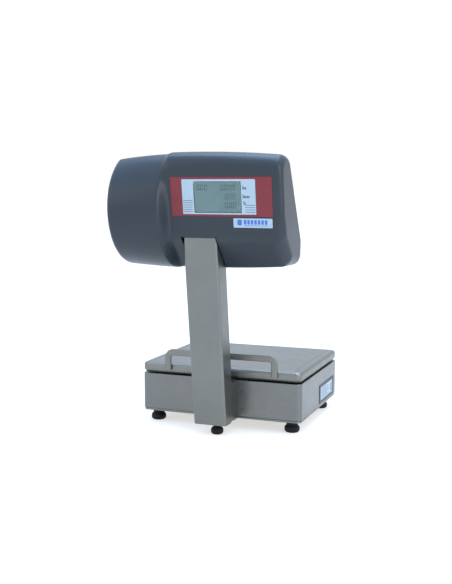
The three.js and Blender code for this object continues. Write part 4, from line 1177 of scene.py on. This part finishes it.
def add_printer():
    dress(ZINC, 0.3, "printer_frame")
    dress(STEEL, 0.2, "peel_bar")
    dress(ALUMINIUM, 0.3, "print_head")
    dress(LEVER_PLASTIC, 0.3, "head_arm")
    dress(GEAR_PLASTIC, 0.15, "motor_pinion", "platen_gear", "rewinder_gear")
    dress(BLACK_PLASTIC, 0.3, "feed_motor", "roll_hub", "guide_roller", "liner_rewinder")
    dress(RUBBER, 0.3, "platen_roller")
    roll = bmesh.new()
    rod(roll, "x", ROLL.radius, ROLL.start, ROLL.end, ROLL.at, 0.3, 96, ROLL.core)
    face_out(roll)
    piece("label_roll_paper", roll, ROLL_PAPER, "roll", ["label_roll"], sharp=40)
    add_paper()


def add_inside():
    dress(ALUMINIUM, 0.4, "load_cell")
    dress(ZINC, 0.3, "load_cell_spacer")
    dress(ALUMINIUM, 0.4, "pan_support")
    dress(BOARD, 0.2, "power_supply")
    dress(VIAL, 0.2, "spirit_level")


PLATE_INK = (0.62, 0.68)


def add_outlets():
    dress(BLACK_PLASTIC, 0.25, *OUTLETS)
    dress(RED_PLASTIC, 0.3, "power_switch_rocker")
    pins = bmesh.new()
    for y, z in ((209.5, 50.5), (216.5, 54.5), (223.5, 50.5)):
        slab(pins, rounded(y - 1.0, y + 1.0, z - 2.0, z + 2.0, 0.6, 4), 0, 15.5)
    pins_at = axes((0, 1, 0), (0, 0, 1), (1, 0, 0), (2.0 - BASE.half, 0, 0))
    piece("inlet_pins", pins, BRASS, "body", at=pins_at, sharp=40)

    dress(BLACK_PLASTIC, 0.15, "data_plate")
    at = RIGHT_WALL_AXES
    film = plate(rounded(-51.6, 47.6, -14.1, 14.1, 0.8, 4), 0.2, 0.62)
    piece("data_plate_film", film, PALE_PRINT, "body", at=at, sharp=40)
    lines = bmesh.new()
    for row, end in enumerate((8, 26, 16, 30, 2, 20)):
        y = 10.0 - 4.0 * row
        mark(lines, -46, end, y - 0.6, y + 0.6, 0.3, PLATE_INK)
    for x in (34.0, 38.0, 42.0):
        mark(lines, x - 0.9, x + 0.9, -11, 9, 0.3, PLATE_INK)
    piece("data_plate_lines", lines, DARK_PRINT, "body", at=at, sharp=40)


# ---- stage ------------------------------------------------------------------------------
FLOOR_SIZE = 60.0
LIT_POINT = (0, -0.05, 0.3)
CAMERA = Sizes(at=(0.6884, -1.83295, 0.512), below_level=6.68, turned=20.87, lens=56.36, sensor=36.0)


def area_light(name, location, size, power, colour):
    """A rectangular light that faces the lit point."""
    data = bpy.data.lights.new(name, "AREA")
    data.shape = "RECTANGLE"
    data.size, data.size_y = size
    data.energy = power
    data.color = colour
    light = add_object(name, data)
    light.location = location
    light.rotation_euler = (Vector(LIT_POINT) - Vector(location)).to_track_quat("-Z", "Y").to_euler()
    return light


def add_stage():
    mesh = bmesh.new()
    bmesh.ops.create_grid(mesh, x_segments=1, y_segments=1, size=FLOOR_SIZE)
    data = bpy.data.meshes.new("floor")
    mesh.to_mesh(data)
    mesh.free()
    floor = add_object("floor", data)
    recipe = Recipe("floor_paint")
    specks = recipe.noise(3, 2, 0.5)
    tone = recipe.mix(recipe.range(specks, 0, 1), (0.41, 0.405, 0.395), (0.44, 0.435, 0.425))
    glow = {"Emission Color": (1.0, 0.99, 0.97, 1), "Emission Strength": 0.60}
    data.materials.append(recipe.finish(tone, 0.9, glow))

    sky = Recipe("studio", "worlds")
    bpy.context.scene.world = sky.owner
    place = sky.node("ShaderNodeTexCoord").outputs["Generated"]
    height = sky.node("ShaderNodeSeparateXYZ", {"Vector": place}).outputs["Z"]
    light = sky.ramp(height, (0.12, 1.25, 1.25, 1.25), (0.9, 1.45, 1.9, 2.7))
    shown = sky.node("ShaderNodeBackground", {"Color": light, "Strength": 0.8}).outputs[0]
    sky.node("ShaderNodeOutputWorld", {"Surface": shown})

    area_light("key", (1.9, -1.0, 0.9), (0.9, 1.4), 14, (1.0, 0.99, 0.97))
    area_light("top", (0.15, 0.1, 2.4), (2.2, 1.8), 62, (0.60, 0.78, 1.0))
    area_light("fill", (-1.8, -1.8, 1.2), (1.4, 1.4), 8, (0.95, 0.97, 1.0))

    camera = add_object("camera", bpy.data.cameras.new("camera"))
    camera.location = CAMERA.at
    camera.rotation_euler = (radians(90 - CAMERA.below_level), 0, radians(CAMERA.turned))
    camera.data.lens = CAMERA.lens
    camera.data.sensor_width = CAMERA.sensor
    bpy.context.scene.camera = camera
    bpy.context.scene.view_settings.view_transform = "Standard"


add_base()
add_pan()
add_feet()
add_column()
add_head()
add_keys()
add_overlay()
add_operator_display()
add_door()
add_customer_display()
add_printer()
add_inside()
add_outlets()
add_stage()
